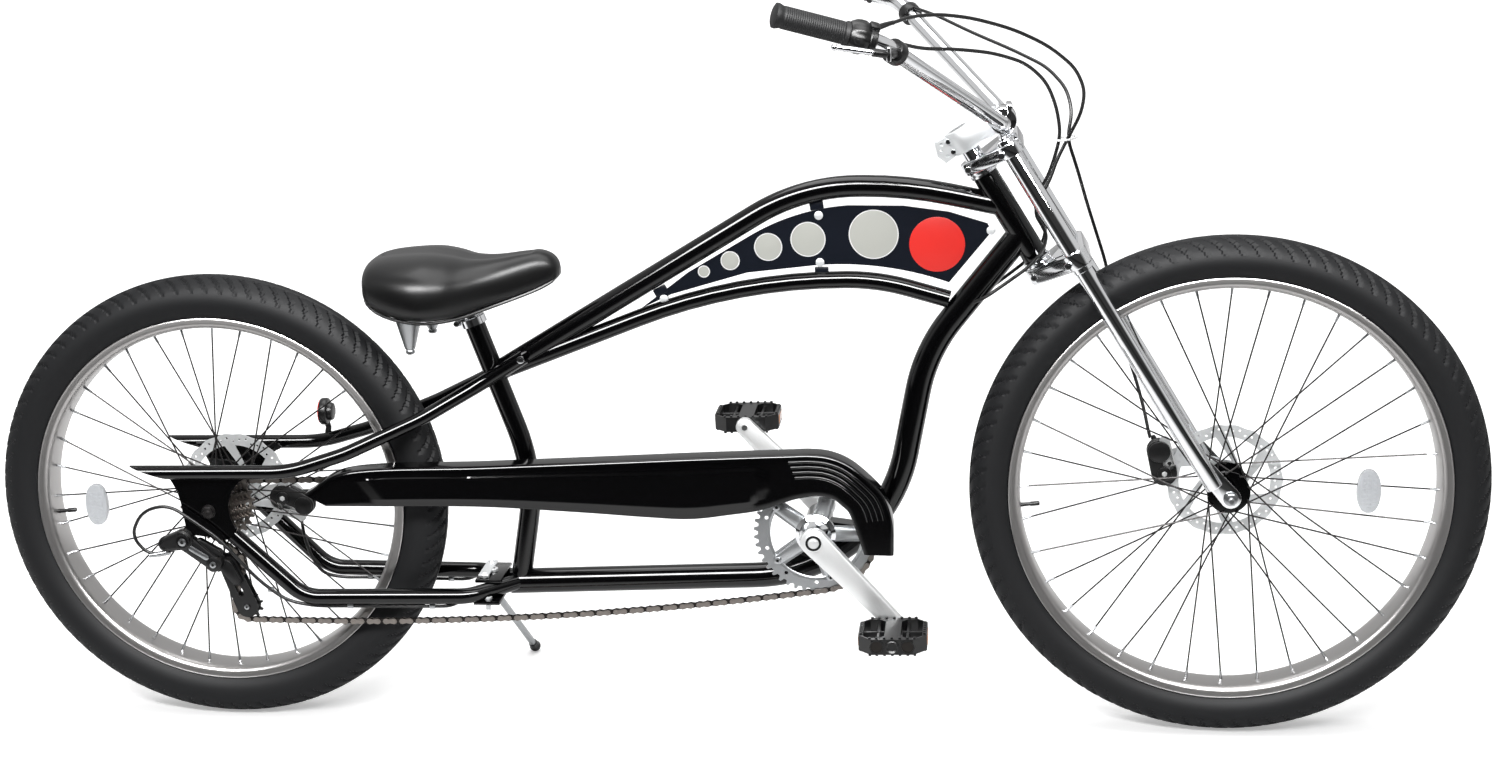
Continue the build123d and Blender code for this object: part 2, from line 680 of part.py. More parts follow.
# Stem and handlebar
stem_base = upper_clamp_top + stem_gap
bar_centre = on_fork(bar_reach, 0, stem_base + bar_lift)
bar_x, _, bar_z = bar_centre
bend_x, bend_z = bar_x - bar_back, bar_z + bar_rise
bend_y = bar_centre_half + bar_spread
end_x, end_z = bend_x - grip_back, bend_z + grip_rise
end_y = bend_y + grip_spread
bar_route = [
    (end_x, -end_y, end_z),
    (bend_x, -bend_y, bend_z),
    (bar_x, -bar_centre_half, bar_z),
    (bar_x, bar_centre_half, bar_z),
    (bend_x, bend_y, bend_z),
    (end_x, end_y, end_z),
]
with BuildPart() as handlebar:
    tube(bar_route, [70, 45, 45, 70], bar_radius)
pieces["handlebar"] = handlebar.part
with BuildPart() as stem:
    with BuildSketch(steering.offset(stem_base)):
        Circle(clamp_boss_radius - 2)
        with Locations((bar_reach / 2, 0)):
            Rectangle(bar_reach, 34)
        with Locations((-26, 0)):
            Rectangle(32, 18)
    extrude(amount=stem_height)
    disc(bar_x, bar_z, 19, -22, 22)
    with Locations((bar_x + 6, 0, bar_z + 2.5)):
        Box(9, 44, 36)
    add(fork_clamps.part, mode=Mode.SUBTRACT)
    add(steerer.part, mode=Mode.SUBTRACT)
    add(handlebar.part, mode=Mode.SUBTRACT)
pieces["stem"] = stem.part
with BuildPart() as grips:
    for side in (-1, 1):
        tip = Vector(end_x, side * end_y, end_z)
        along = (Vector(bend_x, side * bend_y, bend_z) - tip).normalized()
        rod(tuple(tip - along * 3), tuple(tip + along * grip_length), grip_radius)
    add(handlebar.part, mode=Mode.SUBTRACT)
pieces["grips"] = grips.part
with BuildPart() as twist_shifter:
    tip = Vector(end_x, -end_y, end_z)
    along = (Vector(bend_x, -bend_y, bend_z) - tip).normalized()
    start = tip + along * (grip_length + seat_gap)
    rod(tuple(start), tuple(start + along * shifter_length), shifter_radius)
    add(handlebar.part, mode=Mode.SUBTRACT)
pieces["twist_shifter"] = twist_shifter.part

# Cranks, chainring and spindle
arm_angle = math.radians(crank_angle)
arm_x = crank_length * math.cos(arm_angle)
arm_z = crank_length * math.sin(arm_angle)
ring_radius = tooth_circle(chainring_teeth)
with BuildPart() as cranks:
    disc(crank_x, crank_z, spindle_radius, -crank_y - 3, crank_y + 3)
    for side in (-1, 1):
        eye_x, eye_z = crank_x - side * arm_x, crank_z - side * arm_z
        face = Plane(origin=(0, side * crank_y, 0), x_dir=(1, 0, 0), z_dir=(0, -1, 0))
        with BuildSketch(face) as arm:
            with Locations((crank_x, crank_z)):
                Circle(19)
            with Locations((eye_x, eye_z)):
                Circle(12)
            make_hull()
        extrude(arm.sketch, amount=-side * crank_thickness)
        bore(eye_x, eye_z, pedal_axle_radius + running_clearance, side * crank_y - 20, side * crank_y + 20)
pieces["cranks"] = cranks.part
with BuildPart() as chainring:
    ring_low = chain_y - chainring_thickness / 2
    ring_high = chain_y + chainring_thickness / 2
    with BuildSketch(Plane(origin=(crank_x, ring_high, crank_z), x_dir=(1, 0, 0), z_dir=(0, -1, 0))) as ring:
        Circle(ring_radius - 3)
        tooth_step = 360 / chainring_teeth
        with PolarLocations(ring_radius - 3, chainring_teeth, start_angle=tooth_step / 2):
            Rectangle(12, 5)
        Circle(ring_radius - 20, mode=Mode.SUBTRACT)
        with PolarLocations(ring_radius / 2 - 4, 5):
            Rectangle(ring_radius - 26, 15)
        Circle(26)
        Circle(spindle_radius, mode=Mode.SUBTRACT)
    extrude(ring.sketch, amount=chainring_thickness)
    disc(crank_x, crank_z, 26, -crank_y + seat_gap, ring_low)
    bore(crank_x, crank_z, spindle_radius, -crank_y, 0)
pieces["chainring"] = chainring.part

# Pedals on their own axles
for side, name in ((-1, "right"), (1, "left")):
    eye_x, eye_z = crank_x - side * arm_x, crank_z - side * arm_z
    inner_y = crank_y + crank_thickness + 2
    middle_y = side * (inner_y + pedal_width / 2)
    with BuildPart() as pedal:
        with Locations((eye_x, middle_y, eye_z)):
            Box(pedal_length, pedal_width, pedal_height)
            for shift in (-1, 1):
                with Locations((shift * 28, 0, 0)):
                    Box(26, pedal_width - 22, pedal_height + 2, mode=Mode.SUBTRACT)
        low_y, high_y = sorted((side * (crank_y - 1), middle_y))
        disc(eye_x, eye_z, pedal_axle_radius, low_y, high_y)
    pieces["pedal_" + name] = pedal.part

# Chain path: one closed loop round chainring, two jockey wheels and a cog
cog_radius = tooth_circle(cog_teeth[chain_cog])
jockey_radius = tooth_circle(11)
lower_jockey = (41.0, rear_tyre_radius - 157)
upper_jockey = (16.0, rear_tyre_radius - 91)
sag_share = 0.022


def tangent(first, second):
    """Ends of the run from one round to the next; a round's sense is 1 when clockwise."""
    (x1, z1), r1, sense1 = first
    (x2, z2), r2, sense2 = second
    run_x, run_z = x2 - x1, z2 - z1
    distance = math.hypot(run_x, run_z)
    # The run's left normal carries the signed radii of both rounds
    signed1, signed2 = sense1 * r1, sense2 * r2
    heading = math.atan2(run_z, run_x) + math.asin((signed2 - signed1) / distance)
    left_x, left_z = -math.sin(heading), math.cos(heading)
    return (x1 + signed1 * left_x, z1 + signed1 * left_z), (x2 + signed2 * left_x, z2 + signed2 * left_z)


def chain_loop(shift):
    """Adds the chain's closed outline, shifted outward from the pitch line."""
    ring = ((crank_x, crank_z), ring_radius + shift, 1)
    low = (lower_jockey, jockey_radius + shift, 1)
    high = (upper_jockey, jockey_radius - shift, -1)
    cog = (rear_hub, cog_radius + shift, 1)
    top_start, top_end = tangent(cog, ring)
    run_x = crank_x - lower_jockey[0]
    run_z = crank_z - ring_radius - lower_jockey[1] + jockey_radius
    slope = math.atan(run_z / run_x) + 4 * sag_share
    low_end = (crank_x + (ring_radius + shift) * math.sin(slope), crank_z - (ring_radius + shift) * math.cos(slope))
    low_start = (lower_jockey[0], lower_jockey[1] - jockey_radius - shift)
    low_middle = ((low_start[0] + low_end[0]) / 2, (low_start[1] + low_end[1]) / 2 - sag_share * run_x)
    cage_start, cage_end = tangent(low, high)
    climb_start, climb_end = tangent(high, cog)
    Line(top_start, top_end)
    ThreePointArc(top_end, (crank_x + ring_radius + shift, crank_z), low_end)
    ThreePointArc(low_end, low_middle, low_start)
    ThreePointArc(low_start, (lower_jockey[0] - jockey_radius - shift, lower_jockey[1]), cage_start)
    Line(cage_start, cage_end)
    ThreePointArc(cage_end, (upper_jockey[0] + jockey_radius - shift, upper_jockey[1]), climb_start)
    Line(climb_start, climb_end)
    ThreePointArc(climb_end, (rear_hub[0] - cog_radius - shift, rear_hub[1]), top_start)


plate_gap = 2.2
plate_thickness = 1.2
plate_half_height = 4.0
with BuildPart() as chain:
    for low_y in (plate_gap, -plate_gap - plate_thickness):
        with BuildSketch(Plane(origin=(0, chain_y + low_y + plate_thickness, 0), x_dir=(1, 0, 0), z_dir=(0, -1, 0))) as band:
            with BuildLine():
                chain_loop(plate_half_height)
            make_face()
            with BuildLine():
                chain_loop(-plate_half_height)
            make_face(mode=Mode.SUBTRACT)
        extrude(band.sketch, amount=plate_thickness)
pieces["chain"] = chain.part

# Derailleur: knuckle under the plate, arm, cage plates and the two jockey wheels
knuckle = (-42.0, rear_tyre_radius - 46)
cage_pivot = (2.0, rear_tyre_radius - 82)
with BuildPart() as derailleur:
    for low_y in (chain_y - 8, chain_y + 5):
        with BuildSketch(Plane(origin=(0, low_y + 2, 0), x_dir=(1, 0, 0), z_dir=(0, -1, 0))) as cage:
            with Locations(lower_jockey):
                Circle(15)
            with Locations(upper_jockey):
                Circle(13)
            make_hull()
            with Locations(((lower_jockey[0] + upper_jockey[0]) / 2, (lower_jockey[1] + upper_jockey[1]) / 2)):
                Circle(7, mode=Mode.SUBTRACT)
        extrude(cage.sketch, amount=2)
    for centre_x, centre_z in (lower_jockey, upper_jockey):
        with BuildSketch(Plane(origin=(centre_x, chain_y + 1.5, centre_z), x_dir=(1, 0, 0), z_dir=(0, -1, 0))) as wheel:
            Circle(jockey_radius - 5)
            with PolarLocations(jockey_radius - 4, 11):
                RegularPolygon(2.6, 3)
        extrude(wheel.sketch, amount=3)
        disc(centre_x, centre_z, 3, chain_y - 9, chain_y + 8)
    # Two arms of the linkage, set apart, between the knuckle and the cage pivot
    for low_y in (-82, -69):
        with BuildSketch(Plane(origin=(0, low_y + 6, 0), x_dir=(1, 0, 0), z_dir=(0, -1, 0))) as arm:
            with Locations(knuckle):
                Circle(12)
            with Locations(cage_pivot):
                Circle(9)
            make_hull()
        extrude(arm.sketch, amount=6)
    disc(*knuckle, 13, -86, -63)
    disc(*cage_pivot, 11, -84, chain_y - 7)
    with BuildSketch(Plane(origin=(0, -rear_dropout_y, 0), x_dir=(1, 0, 0), z_dir=(0, -1, 0))) as hanger:
        with Locations(knuckle):
            Circle(11)
        with Locations((knuckle[0] + 14, knuckle[1] + 22)):
            Circle(9)
        make_hull()
    extrude(hanger.sketch, amount=4)
    add(pieces["dropout_right"], mode=Mode.SUBTRACT)
pieces["derailleur"] = derailleur.part.solids().sort_by(SortBy.VOLUME)[-1]

# Brake calipers, each astride its rotor with a slot for the disc
calipers = (
    # name, hub, rotor Y, body rounds (X, Z, radius), bracket rounds, bracket low Y
    (
        "rear",
        rear_hub,
        rear_rotor_y,
        ((74, rear_tyre_radius - 17, 26), (106, rear_tyre_radius - 29, 20)),
        ((34, rear_tyre_radius - 15, 10), (80, rear_tyre_radius - 18, 22)),
        rear_dropout_y - 6,
    ),
    (
        "front",
        front_hub,
        front_rotor_y,
        ((wheel_base - 88, front_tyre_radius + 11, 24), (wheel_base - 96, front_tyre_radius + 44, 22)),
        ((wheel_base - 90, front_tyre_radius + 24, 12), (wheel_base - 40, front_tyre_radius + 47, 10)),
        front_rotor_y + 11,
    ),
)
for name, (hub_x, hub_z), rotor_y, body_rounds, bracket_rounds, bracket_y in calipers:
    with BuildPart() as caliper:
        with BuildSketch(Plane.XZ.offset(-bracket_y)) as body:
            for x, z, radius in body_rounds:
                with Locations((x, z)):
                    Circle(radius)
            make_hull()
        extrude(body.sketch, amount=bracket_y - rotor_y + 10)
        slot_half = rotor_thickness / 2 + pad_clearance
        bore(hub_x, hub_z, rotor_radius + pad_clearance + 2, rotor_y - slot_half, rotor_y + slot_half)
        disc(body_rounds[0][0] + 6, body_rounds[0][1], 15, bracket_y, bracket_y + 9)
        with BuildSketch(Plane.XZ.offset(-bracket_y - 6)) as bracket:
            for x, z, radius in bracket_rounds:
                with Locations((x, z)):
                    Circle(radius)
            make_hull()
        extrude(bracket.sketch, amount=6)
        if name == "front":
            add(fork_legs.part, mode=Mode.SUBTRACT)
        else:
            add(pieces["dropout_left"], mode=Mode.SUBTRACT)
            add(pieces["lower_stay_left"], mode=Mode.SUBTRACT)
    pieces["brake_caliper_" + name] = caliper.part.solids().sort_by(SortBy.VOLUME)[-1]

# Brake levers beside the grips
with BuildPart() as brake_levers:
    lever_starts = {}
    for side in (-1, 1):
        tip = Vector(end_x, side * end_y, end_z)
        bend = Vector(bend_x, side * bend_y, bend_z)
        inner = Vector(bar_x, side * bar_centre_half, bar_z)
        down_bar = (inner - bend).normalized()
        outboard = Vector(grip_spread, side * grip_back, 0).normalized()
        clamp_start = bend + down_bar * 28
        rod(tuple(clamp_start), tuple(clamp_start + down_bar * 16), bar_radius + 6)
        lever_root = clamp_start + down_bar * 8
        tube(
            [
                tuple(lever_root),
                tuple(bend + outboard * lever_reach - Vector(0, 0, 8)),
                tuple(tip + (bend - tip) * 0.15 + outboard * (lever_reach + 4) - Vector(0, 0, 6)),
            ],
            [35],
            lever_radius,
        )
        over_bar = (Vector(0, 0, 1) - down_bar * down_bar.Z).normalized()
        lever_starts[side] = tuple(clamp_start + down_bar * 16 + over_bar * (bar_radius + cable_radius + 0.8))
    add(handlebar.part, mode=Mode.SUBTRACT)
pieces["brake_levers"] = brake_levers.part

# Cables on the steering: gears and rear brake down to the head, front brake to its caliper
grip_line = (Vector(bend_x, -bend_y, bend_z) - Vector(end_x, -end_y, end_z)).normalized()
over_grip = (Vector(0, 0, 1) - grip_line * grip_line.Z).normalized()
shift_start = Vector(end_x, -end_y, end_z) + grip_line * (grip_length + seat_gap + shifter_length) + over_grip * 15.5
shift_loop = [(1040, -279, 1079), (1062, -242, 1083), (1096, -205, 1082), (1139, -165, 1073), (1195, -122, 1053)]
shift_loop += [(1244, -90, 1026), (1280, -62, 993), (1294, -42, 960), (1290, -28, 927), (1273, -19, 892)]
rear_brake_loop = [(1075, -222, 1039), (1118, -175, 1033), (1168, -125, 1022), (1212, -82, 1003)]
rear_brake_loop += [(1241, -50, 973), (1256, -28, 934), (1262, -10, 893)]
front_brake_loop = [(1082, 222, 1042), (1136, 175, 1020), (1196, 115, 1000), (1245, 66, 980), (1271, 34, 953)]
front_brake_loop += [(1279, 18, 922), (1272, 11, 886)]
with BuildPart() as fork_cables:
    cable([tuple(shift_start), *shift_loop, on_fork(98, -21, 38), on_fork(72, -24, 16), on_fork(44, -26, 2),
           on_fork(33, -27, -14), on_fork(33, -27.2, -30)])
    cable([lever_starts[-1], *rear_brake_loop, on_fork(92, -2, 36), on_fork(70, 12, 17), on_fork(44, 24, 2),
           on_fork(33, 27, -14), on_fork(33, 27.2, -30)])
    cable([lever_starts[1], *front_brake_loop, on_fork(114, 15, 6), on_fork(100, 32, -46), on_fork(88, 56, -96),
           on_fork(76, 74, -146), on_fork(56, 78, -200), on_fork(38, 74, -258), on_fork(28, 68, -312),
           on_fork(14, 56, -362), on_fork(2, 46, -396), on_fork(-1, 41, -418)])
    for name in ("brake_caliper_front", "brake_levers", "twist_shifter"):
        add(pieces[name], mode=Mode.SUBTRACT)
pieces["fork_cables"] = fork_cables.part

# Cables on the frame: from the head into the main tube, and out under the lower stays
run_y = plate_y - 5
under_z = 211 - lower_stay_radius - cable_radius - seat_gap
with BuildPart() as frame_cables:
    for side in (-1, 1):
        cable([on_fork(33, side * 27.2, -30.5), on_fork(32, side * 27.6, -46), on_fork(18, side * 29, -62),
               on_fork(-12, side * 28, -73), at(1178, 677, side * 23), at(1154, 660, side * 22), at(1124, 646, side * 6)])
    gear_run = [at(385, 212, -60), at(360, under_z, -61), at(296, under_z - 0.5, -63.4), at(215, under_z, -66)]
    gear_run += [at(150, under_z, -68.5)]
    gear_tail = [(108, -run_y - 4, 206), (72, -run_y - 11, 238), (45, -run_y - 17, 272), (20, -run_y - 21, 306)]
    gear_tail += [(-14, -run_y - 23, 333), (-57, -run_y - 22, 362), (-100, -run_y - 19, 350), (-121, -run_y - 16, 310)]
    gear_tail += [(-97, -run_y - 12, 278), (-62, -run_y - 8, 284), (-44, -run_y - 5, 298)]
    cable(gear_run + [(x, y, z + rear_tyre_radius - 347) for x, y, z in gear_tail])
    brake_run = [at(385, 212, 60), at(360, under_z, 61), at(296, under_z - 0.5, 63.4), at(215, under_z, 65.5)]
    brake_run += [at(156, under_z, 63)]
    brake_tail = [(128, 54, 205), (112, 49, 234), (103, 50, 266), (99, 54, 296), (98, 57, 316)]
    cable(brake_run + [(x, y, z + rear_tyre_radius - 347) for x, y, z in brake_tail])
    for name in ("main_tube", "lower_stay_right", "lower_stay_left", "derailleur", "brake_caliper_rear", "dropout_right"):
        add(pieces[name], mode=Mode.SUBTRACT)
pieces["frame_cables"] = frame_cables.part

# Reflectors: one on a stalk behind the saddle's left stay, one in each wheel's spokes
with BuildPart() as tail_reflector:
    stalk_x, _, stalk_z = at(140, 414)
    with Locations((stalk_x, tail_y, stalk_z + 24)):
        Box(4, 12, 34)
    with BuildSketch(Plane(origin=(stalk_x - 7, tail_y, stalk_z + 46), x_dir=(0, 1, 0), z_dir=(1, 0, 0))):
        Circle(21)
    extrude(amount=9)
    add(pieces["stay_left"], mode=Mode.SUBTRACT)
pieces["tail_reflector"] = tail_reflector.part
for name, (hub_x, hub_z), turn in (("front", front_hub, 0), ("rear", rear_hub, 183)):
    angle = math.radians(turn)
    centre = (
        hub_x + reflector_distance * math.cos(angle),
        -12.5,
        hub_z + reflector_distance * math.sin(angle),
    )
    with BuildPart() as reflector:
        with Locations(centre):
            Box(reflector_width, 13, reflector_height)
        add(pieces[name + "_spokes"], mode=Mode.SUBTRACT)
    pieces["wheel_reflector_" + name] = reflector.part.solids().sort_by(SortBy.VOLUME)[-1]

# Side stand: the bracket under the yoke and the leg, drawn in its parked place
stand_pivot = at(402, 182, 46)
stand_foot_x = at(424, 182)[0]
stand_foot_y = 215 * frame_scale
lean_tangent = math.tan(math.radians(lean_angle))
crown_radius = (crown_half_width**2 + crown_drop**2) / (2 * crown_drop)
floor_drop = crown_radius * (1 - math.cos(math.radians(lean_angle)))
foot_height = (stand_foot_radius - floor_drop) / math.cos(math.radians(lean_angle)) + stand_foot_y * lean_tangent
stand_foot = (stand_foot_x, stand_foot_y, foot_height)
leg_run = Vector(*stand_foot) - Vector(*stand_pivot)
stand_axis = leg_run.cross(Vector(*stand_folded)).normalized()
with BuildPart() as kickstand:
    rod(stand_pivot, stand_foot, stand_radius)
    with Locations(stand_foot):
        Sphere(stand_foot_radius)
    barrel_plane = Plane(origin=Vector(*stand_pivot) - stand_axis * 8, z_dir=stand_axis)
    with BuildSketch(barrel_plane) as barrel:
        Circle(10)
    extrude(barrel.sketch, amount=16)
    with BuildSketch(barrel_plane) as barrel_hole:
        Circle(4 + running_clearance)
    extrude(barrel_hole.sketch, amount=16, mode=Mode.SUBTRACT)
pieces["kickstand"] = kickstand.part
with BuildPart() as stand_bracket:
    with BuildSketch(Plane(origin=Vector(*stand_pivot) - stand_axis * 11, z_dir=stand_axis)) as pin:
        Circle(4)
    extrude(pin.sketch, amount=32)
    with BuildSketch(Plane(origin=Vector(*stand_pivot) + stand_axis * (8 + seat_gap), z_dir=stand_axis)) as ear:
        Circle(11)
    extrude(ear.sketch, amount=12)
    with Locations(at(412, 200)):
        Box(40, 116 * frame_scale, 6)
    with Locations(at(412, 229)):
        Box(40, 84 * frame_scale, 5)
    rod(at(412, 194), at(412, 236), 4)
    for name in ("main_tube", "seat_tube", "lower_stay_right", "lower_stay_left"):
        add(pieces[name], mode=Mode.SUBTRACT)
pieces["stand_bracket"] = stand_bracket.part

# The machine leaned to its left and set down with its box centred on the origin
lean = Rotation(-lean_angle, 0, 0)
leaned = {name: piece.moved(lean) for name, piece in pieces.items()}
boxes = [piece.bounding_box() for piece in leaned.values()]
middle_x = (min(box.min.X for box in boxes) + max(box.max.X for box in boxes)) / 2
middle_y = (min(box.min.Y for box in boxes) + max(box.max.Y for box in boxes)) / 2
floor_z = min(box.min.Z for box in boxes)
for name, piece in leaned.items():
    placed = piece.moved(Location((-middle_x, -middle_y, -floor_z)))
    placed.label = name
    export_step(placed, f"parts/{name}.step")
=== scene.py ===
"""Looks of the chopper bicycle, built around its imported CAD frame.

Every shape is drawn in bicycle coordinates: millimetres on the upright machine, X forward
from the rear hub, Y to the rider's left, Z up from the ground. ``Stance`` turns them into
the row frame, where the bicycle leans on its side stand.
"""

from __future__ import annotations

import json
import logging
import math
from collections.abc import Callable, Iterable, Sequence
from dataclasses import dataclass, field
from enum import Enum

import bmesh
import bpy
from mathutils import Matrix, Vector

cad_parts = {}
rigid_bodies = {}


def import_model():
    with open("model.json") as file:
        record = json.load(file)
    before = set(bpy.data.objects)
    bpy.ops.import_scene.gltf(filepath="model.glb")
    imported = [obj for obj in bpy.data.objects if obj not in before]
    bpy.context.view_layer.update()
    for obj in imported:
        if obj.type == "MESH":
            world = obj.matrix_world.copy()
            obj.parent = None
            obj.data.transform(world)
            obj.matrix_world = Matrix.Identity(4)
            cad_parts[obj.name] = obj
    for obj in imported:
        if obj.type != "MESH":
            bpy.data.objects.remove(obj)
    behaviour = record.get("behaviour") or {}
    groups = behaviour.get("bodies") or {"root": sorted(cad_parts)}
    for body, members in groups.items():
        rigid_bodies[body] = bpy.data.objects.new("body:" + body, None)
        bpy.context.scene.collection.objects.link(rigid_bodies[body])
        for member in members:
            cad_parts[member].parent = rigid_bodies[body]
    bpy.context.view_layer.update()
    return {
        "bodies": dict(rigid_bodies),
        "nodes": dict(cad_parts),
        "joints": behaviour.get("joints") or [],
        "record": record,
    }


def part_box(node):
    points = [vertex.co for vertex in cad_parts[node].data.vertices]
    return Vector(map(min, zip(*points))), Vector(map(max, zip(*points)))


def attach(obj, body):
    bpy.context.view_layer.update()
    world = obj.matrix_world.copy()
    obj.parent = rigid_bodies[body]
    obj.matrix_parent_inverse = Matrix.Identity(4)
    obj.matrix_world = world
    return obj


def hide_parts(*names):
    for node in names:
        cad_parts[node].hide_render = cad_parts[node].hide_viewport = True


logger = logging.getLogger("chopper")

Point = tuple[float, float, float]
Flat = tuple[float, float]

# Driving sizes in millimetres, and angles, as the CAD source has them
LEAN = math.radians(5.0)
WHEEL_BASE = 1508.0
REAR_RADIUS = 347.0
FRONT_RADIUS = 374.0
REAR_BEAD = 279.5
FRONT_BEAD = 311.0
TYRE_HALF = 37.0
RIM_HALF = 29.0
RIM_FLANGE = 6.0
RIM_DEPTH = 17.0
HEAD_HALF = 71.5
CRANK = (910.0, 314.0)
CRANK_LENGTH = 170.0
CRANK_ANGLE = math.radians(-46.5)
CHAIN_PITCH = 12.7
CHAIN_Y = -51.0
RING_TEETH = 44
COG_TEETH = (28, 24, 22, 20, 18, 16, 14)
CHAIN_COG_TEETH = 20
JOCKEY_TEETH = 11
HEAD_ANGLE = math.radians(59.0)
FORK_OFFSET = 63.0
FORK_REACH = 508.0
LEG_OFFSET = 52.0
LEG_Y = 56.0


class Finish(Enum):
    """Finishes of the bicycle and of the studio, named as in the record where it has them."""

    PAINT = "frame_paint"
    PANEL = "panel_paint"
    DISC = "disc_trim"
    RED = "red_trim"
    CHROME = "chrome"
    RIM = "rim_silver"
    SPOKE = "steel_dark"
    STEEL = "steel"
    CHAIN = "chain_steel"
    ALLOY = "crank_alloy"
    TYRE = "tyre"
    PLASTIC = "black_plastic"
    LEATHER = "saddle_cover"
    RUBBER = "grip_rubber"
    WHITE = "white_line"
    RING = "chainring_steel"
    ROTOR = "rotor_steel"
    LINK = "chain_rollers"
    AMBER = "amber_reflector"
    CLEAR = "clear_reflector"
    FLOOR = "floor"


# Finishes that the record keeps under another slot, and those that it has no slot for
SHARED_SLOTS = {Finish.RING: Finish.ALLOY, Finish.LINK: Finish.CHAIN, Finish.ROTOR: Finish.STEEL}
WITHOUT_SLOT = (Finish.WHITE, Finish.AMBER, Finish.CLEAR)


def linear(hex_colour: str) -> tuple[float, float, float, float]:
    """Turn an sRGB hex colour into linear RGBA.

    Args:
        hex_colour: Six hex digits, with or without a leading hash.

    Returns:
        Linear red, green, blue and an alpha of one.
    """
    digits = hex_colour.lstrip("#")
    channels = [int(digits[place : place + 2], 16) / 255 for place in (0, 2, 4)]
    red, green, blue = (
        part / 12.92 if part <= 0.04045 else ((part + 0.055) / 1.055) ** 2.4 for part in channels
    )
    return (red, green, blue, 1.0)


def add_node(tree: bpy.types.NodeTree, kind: str, **values: object) -> bpy.types.Node:
    """Add a node and set its inputs or properties by name.

    Args:
        tree: The node tree to add to.
        kind: Blender's node type name.
        **values: Socket values or links, and node properties.

    Returns:
        The new node.
    """
    node = tree.nodes.new(kind)
    for name, value in values.items():
        socket = node.inputs.get(name.replace("_", " "))
        if socket is None:
            setattr(node, name, value)
        elif isinstance(value, bpy.types.NodeSocket):
            tree.links.new(value, socket)
        else:
            socket.default_value = value
    return node


@dataclass(frozen=True)
class Surface:
    """Plain description of one principled finish, with the size of its grain in millimetres."""

    colour: str
    roughness: float
    metallic: float = 0.0
    coat: float = 0.0
    grain: float = 0.0
    grain_mm: float = 1.0
    specular: float = 0.5


SURFACES: dict[Finish, Surface] = {
    # Black enamel: almost no colour of its own, with narrow bright lines along the tubes
    Finish.PAINT: Surface("#040405", 0.10, specular=0.42),
    # Dark blue enamel: softer shine, so the panel reads as a flat sheet behind its discs
    Finish.PANEL: Surface("#121722", 0.28, specular=0.3),
    # Warm grey print: an even, dull tone
    Finish.DISC: Surface("#c0c1ba", 0.34),
    # Red print and red plastic: a clear red with a faint shine
    Finish.RED: Surface("#ee2c24", 0.30),
    # Chrome plate: a mirror of the white paper and of the dim front of the studio
    Finish.CHROME: Surface("#e9eaec", 0.05, metallic=1.0),
    # Satin aluminium: broad soft bands round the rim
    Finish.RIM: Surface("#a9a7a6", 0.30, metallic=1.0, grain=0.02, grain_mm=2.0),
    # Dark spoke wire: thin dark lines with a small glint
    Finish.SPOKE: Surface("#2c2a2a", 0.36, metallic=0.7),
    # Zinc plated steel: grey, with a soft reflection
    Finish.STEEL: Surface("#a6a8aa", 0.28, metallic=1.0),
    # Oiled chain steel: warmer and duller than the plated parts
    Finish.CHAIN: Surface("#8b8580", 0.34, metallic=1.0),
    # Cast aluminium: pale and almost without reflection
    Finish.ALLOY: Surface("#eceded", 0.42, metallic=0.8),
    # Tyre rubber: black, with a dusty grain that spreads the light
    Finish.TYRE: Surface("#0f1013", 0.58, grain=0.10, grain_mm=10 / 9, specular=0.22),
    # Moulded plastic: black with a soft shine
    Finish.PLASTIC: Surface("#0c0c0d", 0.34, specular=0.45),
    # Saddle vinyl: black with a fine pebble
    Finish.LEATHER: Surface("#070708", 0.34, grain=0.06, grain_mm=2 / 3, specular=0.35),
    # Grip rubber: duller than the plastic beside it
    Finish.RUBBER: Surface("#101113", 0.55, grain=0.08, grain_mm=5 / 6, specular=0.35),
    # White nylon and white print
    Finish.WHITE: Surface("#f2f2f2", 0.35),
    # Rolled steel of the chainring: brighter than the cogs
    Finish.RING: Surface("#b0b2b4", 0.34, metallic=1.0),
    # Ground stainless steel: pale and scattered
    Finish.ROTOR: Surface("#eef0f1", 0.45, metallic=0.7),
    # Dark steel: the inner links and the rollers, darker than the bright outer links; in the pedals, painted
    # shade for two round hollows
    Finish.LINK: Surface("#211d1a", 0.45, metallic=0.6),
    # Amber reflector plastic under a gloss coat
    Finish.AMBER: Surface("#c8742a", 0.22, coat=0.6),
    # Clear reflector plastic: pale grey under a gloss coat
    Finish.CLEAR: Surface("#c9ccd0", 0.18, coat=0.8),
    # Matt white paper under the bicycle
    Finish.FLOOR: Surface("#ffffff", 0.9, specular=0.0),
}


